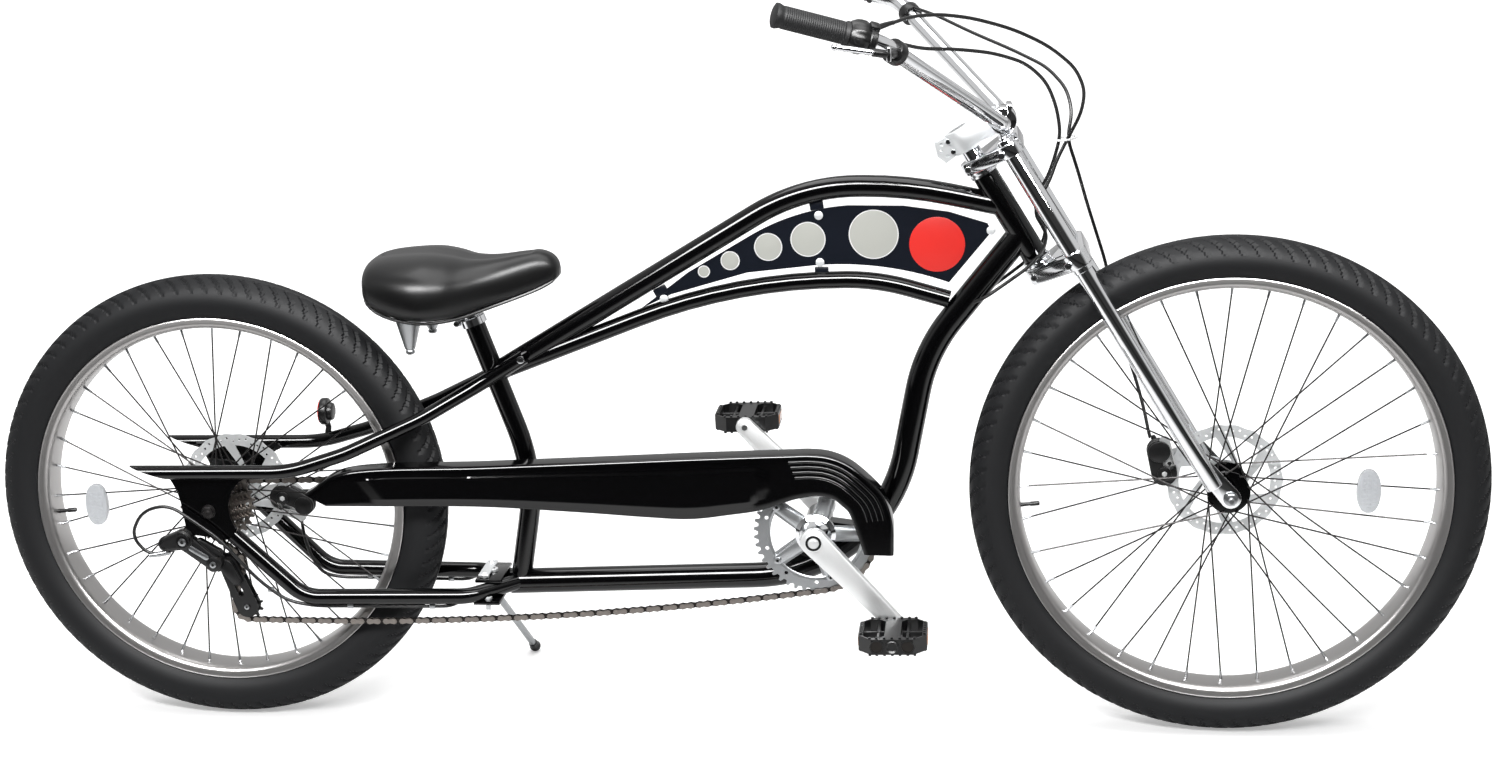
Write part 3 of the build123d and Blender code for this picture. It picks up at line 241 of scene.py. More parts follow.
class Finishes:
    """Makes each material once and hands it out by finish."""

    def __init__(self) -> None:
        """Start with no material made."""
        self._made: dict[Finish, bpy.types.Material] = {}

    def __getitem__(self, finish: Finish) -> bpy.types.Material:
        """Material of a finish."""
        if finish not in self._made:
            self._made[finish] = self._make(finish, SURFACES[finish])
        return self._made[finish]

    @staticmethod
    def _make(finish: Finish, surface: Surface) -> bpy.types.Material:
        """Build the node tree of one finish.

        Args:
            finish: The finish that names the material.
            surface: Its colour and gloss.

        Returns:
            The new material.
        """
        material = bpy.data.materials.new(finish.value)
        material.use_nodes = True
        tree = material.node_tree
        tree.nodes.clear()
        shader = add_node(
            tree,
            "ShaderNodeBsdfPrincipled",
            Base_Color=linear(surface.colour),
            Roughness=surface.roughness,
            Metallic=surface.metallic,
            Coat_Weight=surface.coat,
            Coat_Roughness=0.03,
            Specular_IOR_Level=surface.specular,
        )
        if surface.grain:
            place = add_node(tree, "ShaderNodeTexCoord")
            noise = add_node(
                tree,
                "ShaderNodeTexNoise",
                Vector=place.outputs["Object"],
                Scale=1000 / surface.grain_mm,
                Detail=3.0,
            )
            bump = add_node(
                tree,
                "ShaderNodeBump",
                Height=noise.outputs["Fac"],
                Strength=surface.grain,
                Distance=0.0006,
            )
            tree.links.new(bump.outputs["Normal"], shader.inputs["Normal"])
        add_node(tree, "ShaderNodeOutputMaterial", Surface=shader.outputs["BSDF"])
        return material


@dataclass
class Stance:
    """Places bicycle coordinates in the row frame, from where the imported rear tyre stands."""

    matrix: Matrix = field(init=False)

    def __post_init__(self) -> None:
        """Work out the matrix from the rear tyre's box."""
        turn = Matrix.Rotation(-LEAN, 4, "X")
        low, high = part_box("rear_tyre")
        hub = turn @ Vector((0, 0, REAR_RADIUS / 1000))
        self.matrix = Matrix.Translation((low + high) / 2 - hub) @ turn @ Matrix.Scale(0.001, 4)

    def point(self, place: Sequence[float]) -> Vector:
        """Return a bicycle point as a row point in metres."""
        return self.matrix @ Vector(place)


def crosswise(x: float, z: float, y: float = 0.0) -> Matrix:
    """Frame whose local X is forward, local Y up and local Z to the rider's right.

    Args:
        x: Forward place of the origin.
        z: Height of the origin.
        y: Sideways place of the origin.

    Returns:
        A matrix from local to bicycle coordinates.
    """
    turn = Matrix(((1, 0, 0), (0, 0, -1), (0, 1, 0))).to_4x4()
    return Matrix.Translation((x, y, z)) @ turn


def facing(place: Matrix, side: int) -> Matrix:
    """Mirror a crosswise frame so that its local Z points outward.

    Args:
        place: The crosswise frame.
        side: One for the rider's left, minus one for the right.

    Returns:
        The mirrored frame.
    """
    return place @ Matrix.Scale(-side, 4, (0, 0, 1))


def along(start: Sequence[float], end: Sequence[float]) -> Matrix:
    """Frame at start whose local Z points to end.

    Args:
        start: Origin of the frame.
        end: A point on its local Z axis.

    Returns:
        A matrix from local to bicycle coordinates.
    """
    run = Vector(end) - Vector(start)
    return Matrix.Translation(start) @ run.to_track_quat("Z", "Y").to_matrix().to_4x4()


def polar(radius: float, angle: float, u: float = 0.0, v: float = 0.0) -> Flat:
    """Flat point at a radius and an angle from a centre.

    Args:
        radius: Distance from the centre.
        angle: Angle from the U axis.
        u: First coordinate of the centre.
        v: Second coordinate of the centre.

    Returns:
        The point.
    """
    return (u + radius * math.cos(angle), v + radius * math.sin(angle))


def turns(count: int, offset: float = 0.0) -> list[float]:
    """Angles of equal steps round a circle.

    Args:
        count: Number of steps.
        offset: Where the first one lies, in steps.

    Returns:
        The angles in radians.
    """
    return [math.tau * (step + offset) / count for step in range(count)]


def pitch_radius(teeth: int) -> float:
    """Radius at which the chain's pins lie on a wheel with this many teeth."""
    return CHAIN_PITCH / (2 * math.sin(math.pi / teeth))


def steering_frame() -> Matrix:
    """Frame of the fork: local X forward of the steering axis, local Z up along it."""
    sine, cosine = math.sin(HEAD_ANGLE), math.cos(HEAD_ANGLE)
    turn = Matrix(((sine, 0, -cosine), (0, 1, 0), (cosine, 0, sine))).to_4x4()
    x = WHEEL_BASE - sine * FORK_OFFSET - cosine * FORK_REACH
    z = FRONT_RADIUS - cosine * FORK_OFFSET + sine * FORK_REACH
    return Matrix.Translation((x, 0, z)) @ turn


def rounded_path(
    points: Sequence[Sequence[float]], fillets: Sequence[float], step: float = 5.0
) -> list[Vector]:
    """Corner points with each inner corner rounded.

    Args:
        points: The corners.
        fillets: One radius for each inner corner.
        step: Largest turn between two points, in degrees.

    Returns:
        The points of the rounded path.
    """
    corners = [Vector(point) for point in points]
    path = [corners[0]]
    for before, corner, after, radius in zip(corners, corners[1:], corners[2:], fillets):
        incoming, outgoing = (corner - before).normalized(), (after - corner).normalized()
        turn = incoming.angle(outgoing)
        if turn < 1e-4 or radius <= 0:
            path.append(corner)
            continue
        reach = radius * math.tan(turn / 2)
        centre = corner + (outgoing - incoming).normalized() * (radius / math.cos(turn / 2))
        first, axis = corner - incoming * reach - centre, incoming.cross(outgoing).normalized()
        count = max(2, math.ceil(math.degrees(turn) / step))
        for place in range(count + 1):
            path.append(centre + Matrix.Rotation(turn * place / count, 3, axis) @ first)
    return path + [corners[-1]]


def smooth_path(points: Sequence[Sequence[float]], count: int = 8) -> list[Vector]:
    """Points of a soft curve through the given ones.

    Args:
        points: Points that the curve passes.
        count: Steps between two of them.

    Returns:
        The points of the curve.
    """
    knots = [Vector(point) for point in points]
    knots = [knots[0] * 2 - knots[1], *knots, knots[-1] * 2 - knots[-2]]
    path = []
    for a, b, c, d in zip(knots, knots[1:], knots[2:], knots[3:]):
        for place in range(count):
            t = place / count
            slope, bend, twist = c - a, 2 * a - 5 * b + 4 * c - d, 3 * b - a - 3 * c + d
            path.append(0.5 * (2 * b + slope * t + bend * t * t + twist * t * t * t))
    return path + [knots[-2]]


def edges_at(verts: Iterable[bmesh.types.BMVert]) -> list[bmesh.types.BMEdge]:
    """Edges that meet some vertices, each once, in the order in which they are met."""
    return list(dict.fromkeys(edge for vert in verts for edge in vert.link_edges))


class Forge:
    """Collects geometry in bicycle millimetres and turns it into one object."""

    studio: "Workshop"

    def __init__(self, name: str, finish: Finish) -> None:
        """Start an empty mesh.

        Args:
            name: Name of the piece.
            finish: Its first finish.
        """
        self.name = name.replace(" ", "_")
        self.mesh = bmesh.new()
        self.finishes = [finish]
        self.current = 0

    def paint(self, finish: Finish) -> "Forge":
        """Give the faces that follow another finish.

        Args:
            finish: The finish.

        Returns:
            The forge itself.
        """
        if finish not in self.finishes:
            self.finishes.append(finish)
        self.current = self.finishes.index(finish)
        return self

    def _mark(self) -> None:
        """Give the finish in use to the faces that have none yet, whose index is zero."""
        for face in self.mesh.faces:
            if face.material_index == 0:
                face.material_index = self.current + 1

    def _ease(self, edges: Iterable[bmesh.types.BMEdge], width: float, segments: int = 2) -> None:
        """Bevel some edges.

        Args:
            edges: The edges.
            width: Width of the bevel.
            segments: Facets across it.
        """
        bmesh.ops.bevel(
            self.mesh,
            geom=list(edges),
            offset=width,
            segments=segments,
            profile=0.5,
            material=-1,
            affect="EDGES",
        )

    def _string(self, points: Iterable[Vector], closed: bool = True) -> list[bmesh.types.BMEdge]:
        """Join points into a string of edges.

        Args:
            points: The points in order.
            closed: Whether the last one joins the first.

        Returns:
            The edges.
        """
        verts = [self.mesh.verts.new(point) for point in points]
        edges = [self.mesh.edges.new(pair) for pair in zip(verts, verts[1:])]
        if closed:
            edges.append(self.mesh.edges.new((verts[-1], verts[0])))
        return edges

    def skin(self, rings: Iterable[Iterable[Vector]], caps: bool = True) -> None:
        """Bridge closed rings of equal numbers of points.

        Args:
            rings: The rings in order.
            caps: Whether the first and last ring are closed.
        """
        loops = [self._string(points) for points in rings]
        for lower, upper in zip(loops, loops[1:]):
            bmesh.ops.bridge_loops(self.mesh, edges=lower + upper)
        if caps:
            for loop in (loops[0], loops[-1]):
                bmesh.ops.contextual_create(self.mesh, geom=loop)
        self._mark()

    def tube(self, path: Sequence[Sequence[float]], radius: float | Sequence[float], sides: int = 24) -> None:
        """Sweep a circle along a path.

        Args:
            path: Points of the path.
            radius: One radius, or one for each point.
            sides: Points round the circle.
        """
        points = [Vector(point) for point in path]
        radii = [radius] * len(points) if isinstance(radius, (int, float)) else list(radius)
        side = (points[1] - points[0]).orthogonal().normalized()
        loops = []
        for place, point in enumerate(points):
            ahead = (points[min(place + 1, len(points) - 1)] - points[max(place - 1, 0)]).normalized()
            side = (side - ahead * side.dot(ahead)).normalized()
            frame = Matrix((side, ahead.cross(side), ahead)).transposed().to_4x4()
            frame.translation = point
            made = bmesh.ops.create_circle(self.mesh, segments=sides, radius=radii[place], matrix=frame)
            loops.append(edges_at(made["verts"]))
        for lower, upper in zip(loops, loops[1:]):
            bmesh.ops.bridge_loops(self.mesh, edges=lower + upper)
        for loop in (loops[0], loops[-1]):
            bmesh.ops.contextual_create(self.mesh, geom=loop)
        self._mark()

    def lathe(
        self,
        place: Matrix,
        profile: Sequence[Flat],
        steps: int = 96,
        closed: bool = True,
        turn: float = math.tau,
    ) -> list[bmesh.types.BMVert]:
        """Spin a profile about the local Z axis of a frame.

        Args:
            place: Frame of the axis.
            profile: Distances from the axis and places along it.
            steps: Steps of the full turn.
            closed: Whether the profile's last point joins its first.
            turn: Angle of the whole spin.

        Returns:
            The turned vertices.
        """
        edges = self._string([place @ Vector((out, 0, height)) for out, height in profile], closed)
        known = len(self.mesh.verts) - len(profile)
        geometry = edges + list(dict.fromkeys(vert for edge in edges for vert in edge.verts))
        bmesh.ops.spin(
            self.mesh,
            geom=geometry,
            cent=place.translation,
            axis=(place.to_3x3() @ Vector((0, 0, 1))).normalized(),
            angle=turn,
            steps=steps,
            use_merge=turn == math.tau,
        )
        self.mesh.verts.ensure_lookup_table()
        verts = self.mesh.verts[known:]
        if not closed:
            bmesh.ops.remove_doubles(self.mesh, verts=verts, dist=1e-4)
            self.mesh.verts.ensure_lookup_table()
            verts = self.mesh.verts[known:]
        self._mark()
        return verts

    def repeat(self, place: Matrix, count: int) -> None:
        """Repeat one sector round the local Z axis of a frame until it closes.

        Args:
            place: Frame of the axis.
            count: Sectors of the full turn.
        """
        bmesh.ops.spin(
            self.mesh,
            geom=[*self.mesh.verts, *self.mesh.edges, *self.mesh.faces],
            cent=place.translation,
            axis=(place.to_3x3() @ Vector((0, 0, 1))).normalized(),
            angle=math.tau * (count - 1) / count,
            steps=count - 1,
            use_duplicate=True,
        )
        bmesh.ops.remove_doubles(self.mesh, verts=self.mesh.verts, dist=1e-3)
        self._mark()

    def disc(
        self, place: Matrix, radius: float, low: float, high: float, steps: int = 32, edge: float = 0.0
    ) -> None:
        """Add a round bar along local Z with eased rims.

        Args:
            place: Frame of the bar.
            radius: Radius of the bar.
            low: Lower end.
            high: Upper end.
            steps: Points round it.
            edge: Width of the bevel on both rims.
        """
        made = bmesh.ops.create_cone(
            self.mesh,
            cap_ends=True,
            segments=steps,
            radius1=radius,
            radius2=radius,
            depth=high - low,
            matrix=place @ Matrix.Translation((0, 0, (low + high) / 2)),
        )
        if edge:
            axis = (place.to_3x3() @ Vector((0, 0, 1))).normalized()
            rims = []
            for item in edges_at(made["verts"]):
                if abs((item.verts[0].co - item.verts[1].co).dot(axis)) < 1e-3:
                    rims.append(item)
            self._ease(rims, edge)
        self._mark()

    def prism(
        self, place: Matrix, outline: Sequence[Flat], low: float, high: float, edge: float = 0.0
    ) -> None:
        """Raise an outline along local Z.

        Args:
            place: Frame of the outline.
            outline: Corners in order.
            low: Lower end.
            high: Upper end.
            edge: Width of the bevel on every edge.
        """
        face = self.mesh.faces.new([self.mesh.verts.new(place @ Vector((u, v, low))) for u, v in outline])
        raised = bmesh.ops.extrude_face_region(self.mesh, geom=[face], use_keep_orig=True)
        verts = [item for item in raised["geom"] if isinstance(item, bmesh.types.BMVert)]
        bmesh.ops.translate(self.mesh, verts=verts, vec=place.to_3x3() @ Vector((0, 0, high - low)))
        if edge:
            self._ease(edges_at((*verts, *face.verts)), edge)
        self._mark()

    def block(self, place: Matrix, size: Point, edge: float = 1.0) -> None:
        """Add a box centred on a frame.

        Args:
            place: Frame of the box.
            size: Lengths along its three axes.
            edge: Width of the bevel on every edge.
        """
        made = bmesh.ops.create_cube(self.mesh, size=1.0, matrix=place @ Matrix.Diagonal((*size, 1)))
        if edge:
            self._ease(edges_at(made["verts"]), edge)
        self._mark()

    def plate(
        self,
        place: Matrix,
        outline: Sequence[Flat],
        low: float,
        high: float,
        holes: Iterable[Sequence[Flat]] = (),
    ) -> None:
        """Raise an outline with holes along local Z.

        Args:
            place: Frame of the outline.
            outline: Outer corners in order.
            low: Lower end.
            high: Upper end.
            holes: Corners of each hole.
        """
        edges = []
        for corners in (outline, *holes):
            edges += self._string([place @ Vector((u, v, low)) for u, v in corners])
        filled = bmesh.ops.triangle_fill(self.mesh, edges=edges, use_beauty=True)
        faces = [item for item in filled["geom"] if isinstance(item, bmesh.types.BMFace)]
        raised = bmesh.ops.extrude_face_region(self.mesh, geom=faces, use_keep_orig=True)
        verts = [item for item in raised["geom"] if isinstance(item, bmesh.types.BMVert)]
        bmesh.ops.translate(self.mesh, verts=verts, vec=place.to_3x3() @ Vector((0, 0, high - low)))
        self._mark()

    def cut(self, point: Sequence[float], outward: Sequence[float]) -> None:
        """Cut away what lies on the outward side of a plane and close the cut.

        Args:
            point: A point on the plane.
            outward: The plane's normal, towards the side that goes.
        """
        geometry = [*self.mesh.verts, *self.mesh.edges, *self.mesh.faces]
        split = bmesh.ops.bisect_plane(
            self.mesh, geom=geometry, plane_co=point, plane_no=outward, clear_outer=True, dist=1e-4
        )
        rim = [item for item in split["geom_cut"] if isinstance(item, bmesh.types.BMEdge)]
        bmesh.ops.contextual_create(self.mesh, geom=rim)
        self._mark()

    def ball(self, place: Sequence[float], radius: float, steps: int = 20) -> None:
        """Add a ball.

        Args:
            place: Its centre.
            radius: Its radius.
            steps: Points round its middle.
        """
        bmesh.ops.create_uvsphere(
            self.mesh,
            u_segments=steps,
            v_segments=steps // 2,
            radius=radius,
            matrix=Matrix.Translation(place),
        )
        self._mark()

    def bolt(self, place: Matrix, radius: float = 5.0, height: float = 4.0) -> None:
        """Add a cap screw that stands along local Z, with a black hexagon on its head as painted shade for
        the socket.

        Args:
            place: Frame at the foot of its head.
            radius: Radius of the head.
            height: Height of the head.
        """
        self.disc(place, radius, 0, height, 20, 0.6)
        was = self.current
        # The socket is not cut: a thin black hexagon on the head stands in for its hollow as painted shade.
        self.paint(Finish.PLASTIC)
        self.disc(place, radius * 0.48, height - 0.4, height + 0.1, 6)
        self.current = was

    def build(self, body: str, *stands_for: str, sharp: float = 35.0) -> bpy.types.Object:
        """Turn the collected geometry into an object that rides a body.

        Args:
            body: CAD body that carries it.
            *stands_for: CAD nodes that it replaces.
            sharp: Angle above which an edge stays crisp, in degrees.

        Returns:
            The object.
        """
        bmesh.ops.recalc_face_normals(self.mesh, faces=self.mesh.faces)
        for face in self.mesh.faces:
            face.smooth = True
            face.material_index -= 1
        bmesh.ops.transform(self.mesh, matrix=self.studio.stance.matrix, verts=self.mesh.verts)
        data = bpy.data.meshes.new(self.name)
        self.mesh.to_mesh(data)
        self.mesh.free()
        data.set_sharp_from_angle(angle=math.radians(sharp))
        for finish in self.finishes:
            data.materials.append(self.studio.finishes[finish])
        made = bpy.data.objects.new(self.name, data)
        bpy.context.collection.objects.link(made)
        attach(made, body)
        if stands_for:
            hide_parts(*stands_for)
        slot = SHARED_SLOTS.get(self.finishes[0], self.finishes[0])
        slot not in WITHOUT_SLOT
        logger.info("%s: %d faces", self.name, len(data.polygons))
        return made


@dataclass
class Workshop:
    """What every builder needs: the stance and the finishes."""

    stance: Stance
    finishes: Finishes


@dataclass(frozen=True)
class TubeRun:
    """One painted or plated tube of the frame."""

    name: str
    points: tuple[Point, ...]
    fillets: tuple[float, ...]
    radius: float
    node: str


FRAME_TUBES: tuple[TubeRun, ...] = (
    TubeRun(
        "upper tube",
        ((430, 0, 542), (895, 0, 821), (1045, 0, 821), (1183, 0, 792)),
        (290, 600),
        16.0,
        "upper_tube",
    ),
    TubeRun(
        "arch tube",
        ((430, 0, 542), (798, 0, 684), (1003, 0, 684), (1105, 0, 654.8)),
        (850, 320),
        12.7,
        "arch_tube",
    ),
    TubeRun(
        "main tube",
        ((1207.9, 0, 751.3), (1071, 0, 578), (1005, 0, 237.5), (440, 0, 216)),
        (250, 240),
        19.0,
        "main_tube",
    ),
    TubeRun("seat tube", ((404, 0, 617), (483.5, 0, 389), (455, 0, 222)), (290,), 15.5, "seat_tube"),
)


@dataclass(frozen=True)
class FrameBuilder:
    """Painted tubes of the frame, and the head tube with its plated cups."""

    head_radius: float = 18.5
    cup_profile: tuple[Flat, ...] = (
        # distance from the steering axis, height over the head tube's end
        (14.4, 0),
        (21, 0),
        (21, 3),
        (19, 4.5),
        (19, 5.5),
        (20.5, 6.5),
        (20.5, 8.5),
        (14.4, 8.5),
    )

    def build(self) -> None:
        """Build the tubes and the head."""
        for run in FRAME_TUBES:
            forge = Forge(run.name, Finish.PAINT)
            forge.tube(rounded_path(run.points, run.fillets, 3), run.radius, 32)
            forge.build("frame", run.node)
        self._head_tube()

    def _head_tube(self) -> None:
        """Build the head tube and the cup at each of its ends."""
        head = steering_frame()
        forge = Forge("head tube", Finish.PAINT)
        forge.disc(head, self.head_radius, -HEAD_HALF, HEAD_HALF, 48, 1)
        forge.build("frame", "head_tube")
        cups = Forge("headset cups", Finish.CHROME)
        for side in (-1, 1):
            end = Matrix.Translation((0, 0, side * HEAD_HALF)) @ Matrix.Scale(side, 4, (0, 0, 1))
            cups.lathe(head @ end, self.cup_profile, 48)
        cups.build("frame", "headset")


@dataclass(frozen=True)
class WheelSpec:
    """Sizes of one wheel."""

    name: str
    body: str
    centre: Flat
    bead: float
    radius: float
    flange_radius: float
    flange_y: float
    reflector_angle: float


WHEELS: tuple[WheelSpec, ...] = (
    WheelSpec("rear", "rear_wheel", (0.0, REAR_RADIUS), REAR_BEAD, REAR_RADIUS, 29.0, 29.0, 183.0),
    WheelSpec("front", "front_wheel", (WHEEL_BASE, FRONT_RADIUS), FRONT_BEAD, FRONT_RADIUS, 31.0, 26.0, 0.0),
)


@dataclass
class WheelBuilder:
    """Tyre, rim, valve and laced spokes of one wheel."""

    spec: WheelSpec
    crown_half: float = 25.0
    crown_drop: float = 9.5
    tread_sectors: int = 46
    tread_reach: float = 22.0
    sipe_depth: float = 3.0
    sipe_share: float = 0.24
    sipe_start: float = 9.0
    sipe_slant: float = 0.045
    groove_depth: float = 1.6
    groove_place: float = 7.0
    groove_half: float = 1.3
    valve_angle: float = math.radians(185.6)
    spoke_count: int = 36
    spoke_crossing: float = math.radians(60)
    elbow: float = 3.2
    nipple_y: float = 3.0
    place: Matrix = field(init=False)

    def __post_init__(self) -> None:
        """Set the frame of the hub."""
        self.place = crosswise(*self.spec.centre)

    @property
    def flange(self) -> float:
        """Radius of the rim's flange."""
        return self.spec.bead + RIM_FLANGE

    def build(self) -> None:
        """Build the wheel."""
        self._tyre()
        self._rim()
        self._valve()
        self._spokes()

    def _tyre(self) -> None:
        """Build one sector of the balloon tyre, cut its tread and repeat it round the hub."""
        spec = self.spec
        shoulder = Vector((spec.radius - self.crown_drop, self.crown_half))
        edge = Vector((self.flange + 0.3, RIM_HALF - 2.3))
        middle = Vector(((self.flange + spec.radius) / 2 - 3, TYRE_HALF))
        side = arc_through(edge, middle, shoulder, 18)
        crown = arc_through(shoulder, Vector((spec.radius, 0)), Vector((shoulder.x, -self.crown_half)), 24)
        far_side = [Vector((point.x, -point.y)) for point in reversed(side[:-1])]
        profile = [*side[:-1], *crown, *far_side, Vector((spec.bead + 0.5, 0))]
        forge = Forge(f"{spec.name} tyre", Finish.TYRE)
        section = [(point.x, -point.y) for point in profile]
        back = self.place.inverted()
        for vert in forge.lathe(self.place, section, 16, turn=math.tau / self.tread_sectors):
            local = back @ vert.co
            reach = math.hypot(local.x, local.y)
            depth = self._tread_depth(math.atan2(local.y, local.x), local.z, reach)
            if depth:
                share = 1 - depth / reach
                vert.co = self.place @ Vector((local.x * share, local.y * share, local.z))
        forge.repeat(self.place, self.tread_sectors)
        forge.build(spec.body, f"{spec.name}_tyre", sharp=24)

    def _tread_depth(self, angle: float, across: float, out: float) -> float:
        """Work out how deep the tread is cut at a point of the tyre.

        Args:
            angle: Angle about the hub.
            across: Distance from the tyre's middle plane.
            out: Distance from the hub's axis.

        Returns:
            The depth, which is nothing below the shoulders.
        """
        if self.spec.radius - out > self.tread_reach:
            return 0.0
        phase = (2 * self.tread_sectors * angle / math.tau + abs(across) * self.sipe_slant) % 1.0
        sipe = self.sipe_depth if phase < self.sipe_share and abs(across) > self.sipe_start else 0.0
        groove = self.groove_depth if abs(abs(across) - self.groove_place) < self.groove_half else 0.0
        return max(sipe, groove)

    def _rim(self) -> None:
        """Build the wide rim, with a rounded bed and a bead on its flange."""
        spec = self.spec
        bed = self.flange - RIM_DEPTH
        half = [
            (bed - 0.5, 0),
            (bed, 8),
            (bed + 0.3, 18),
            (bed + 2, 24),
            (bed + 5, 27.5),
            (bed + 9, RIM_HALF),
            (self.flange - 2.5, RIM_HALF),
            (self.flange - 1, 29.8),
            (self.flange + 0.2, 29.2),
            (self.flange + 0.2, 27.6),
            (spec.bead, 27),
        ]
        profile = half + [(out, -across) for out, across in reversed(half[1:])]
        forge = Forge(f"{spec.name} rim", Finish.RIM)
        forge.lathe(self.place, profile, 240)
        forge.build(spec.body, f"{spec.name}_rim", sharp=40)

    def _valve(self) -> None:
        """Build the rubber valve stem with its cap."""
        reach = Vector((*polar(1.0, self.valve_angle), 0))
        bed = self.spec.bead - 10
        stem = [self.place @ (reach * out) for out in (bed + 3, bed - 14, bed - 16, bed - 27, bed - 29)]
        forge = Forge(f"{self.spec.name} valve", Finish.PLASTIC)
        forge.tube(stem, (3.6, 2.6, 3.4, 3.4, 2.4), 14)
        forge.build(self.spec.body)

    def _lacing(self) -> Iterable[tuple[Vector, Vector, Vector]]:
        """Yield head, elbow and rim end of each spoke, in the wheel's own coordinates."""
        start, end = self.spec.flange_radius - 2, self.flange - RIM_DEPTH
        pair = 4 * 360 / self.spoke_count
        for side in (-1, 1):
            for group in (-1, 1):
                for turn in range(self.spoke_count // 4):
                    first = math.radians(turn * pair + (group + 1) * pair / 4 + (side + 1) * pair / 8)
                    last = first - group * self.spoke_crossing
                    offset = self.spec.flange_y + group * self.elbow
                    low = Vector((*polar(start, first), -side * offset))
                    high = Vector((*polar(end, last), -side * self.nipple_y))
                    yield low + Vector((0, 0, side * group * self.elbow)), low, high

    def _spokes(self) -> None:
        """Build the spokes and their nipples."""
        forge = Forge(f"{self.spec.name} spokes", Finish.SPOKE)
        for head, low, high in self._lacing():
            run = (high - low).normalized()
            forge.paint(Finish.SPOKE)
            forge.tube([self.place @ point for point in (head, low, high)], 1.2, 8)
            forge.paint(Finish.STEEL)
            nipple = (high - run * 13, high - run * 3, high)
            forge.tube([self.place @ point for point in nipple], (1.7, 2.0, 2.4), 8)
        forge.build(self.spec.body, f"{self.spec.name}_spokes")


def arc_through(first: Vector, middle: Vector, last: Vector, count: int) -> list[Vector]:
    """Points of the circle arc through three flat points.

    Args:
        first: Start of the arc.
        middle: A point on it.
        last: End of the arc.
        count: Steps along it.

    Returns:
        The points, ends included.
    """
    ax, ay, bx, by = middle.x - first.x, middle.y - first.y, last.x - first.x, last.y - first.y
    scale = 2 * (ax * by - ay * bx)
    square_a, square_b = ax * ax + ay * ay, bx * bx + by * by
    offset = ((by * square_a - ay * square_b) / scale, (ax * square_b - bx * square_a) / scale)
    centre = first + Vector(offset)
    radius = (first - centre).length
    angles = [math.atan2(point.y - centre.y, point.x - centre.x) for point in (first, middle, last)]
    sweep = angles[2] - angles[0]
    inside = (angles[1] - angles[0]) % math.tau
    if inside > sweep % math.tau:
        sweep = sweep % math.tau - math.tau
    else:
        sweep %= math.tau
    return [
        centre + Vector(polar(1.0, angles[0] + sweep * step / count)) * radius
        for step in range(count + 1)
    ]


def wrap_rounds(rounds: Iterable[tuple[float, float, float]], steps: int = 40) -> list[Flat]:
    """Outline of a band stretched round some circles.

    Args:
        rounds: Centre and radius of each circle.
        steps: Points sampled on each circle.

    Returns:
        The corners, counterclockwise.
    """
    points = sorted(
        (round(u + r * math.cos(math.tau * t / steps), 4), round(v + r * math.sin(math.tau * t / steps), 4))
        for u, v, r in rounds
        for t in range(steps)
    )
    chain: list[Flat] = []
    for ordered in (points, points[::-1]):
        start = len(chain)
        for point in ordered:
            while len(chain) >= start + 2:
                (ax, ay), (bx, by) = chain[-2], chain[-1]
                if (bx - ax) * (point[1] - ay) - (by - ay) * (point[0] - ax) > 1e-6:
                    break
                chain.pop()
            chain.append(point)
        chain.pop()
    return chain


def ring(radius: float, steps: int = 48, u: float = 0.0, v: float = 0.0) -> list[Flat]:
    """Corners of a circle.

    Args:
        radius: Its radius.
        steps: Number of corners.
        u: First coordinate of its centre.
        v: Second coordinate of its centre.

    Returns:
        The corners.
    """
    return [polar(radius, angle, u, v) for angle in turns(steps)]


# Share of one tooth and height over the pitch circle, for each corner of a tooth
CHAIN_TOOTH = ((0.0, -3.6), (0.2, -3.2), (0.38, 2.6), (0.62, 2.6), (0.8, -3.2))
JOCKEY_TOOTH = ((0.0, -5.2), (0.25, -4.6), (0.42, 0.4), (0.58, 0.4), (0.75, -4.6))


def sprocket(teeth: int, tooth: Sequence[Flat] = CHAIN_TOOTH) -> list[Flat]:
    """Outline of a toothed wheel for the chain.

    Args:
        teeth: Number of teeth.
        tooth: Corners of one tooth.

    Returns:
        The corners of the outline.
    """
    pitch = pitch_radius(teeth)
    return [
        polar(pitch + height, math.tau * (place + share) / teeth)
        for place in range(teeth)
        for share, height in tooth
    ]


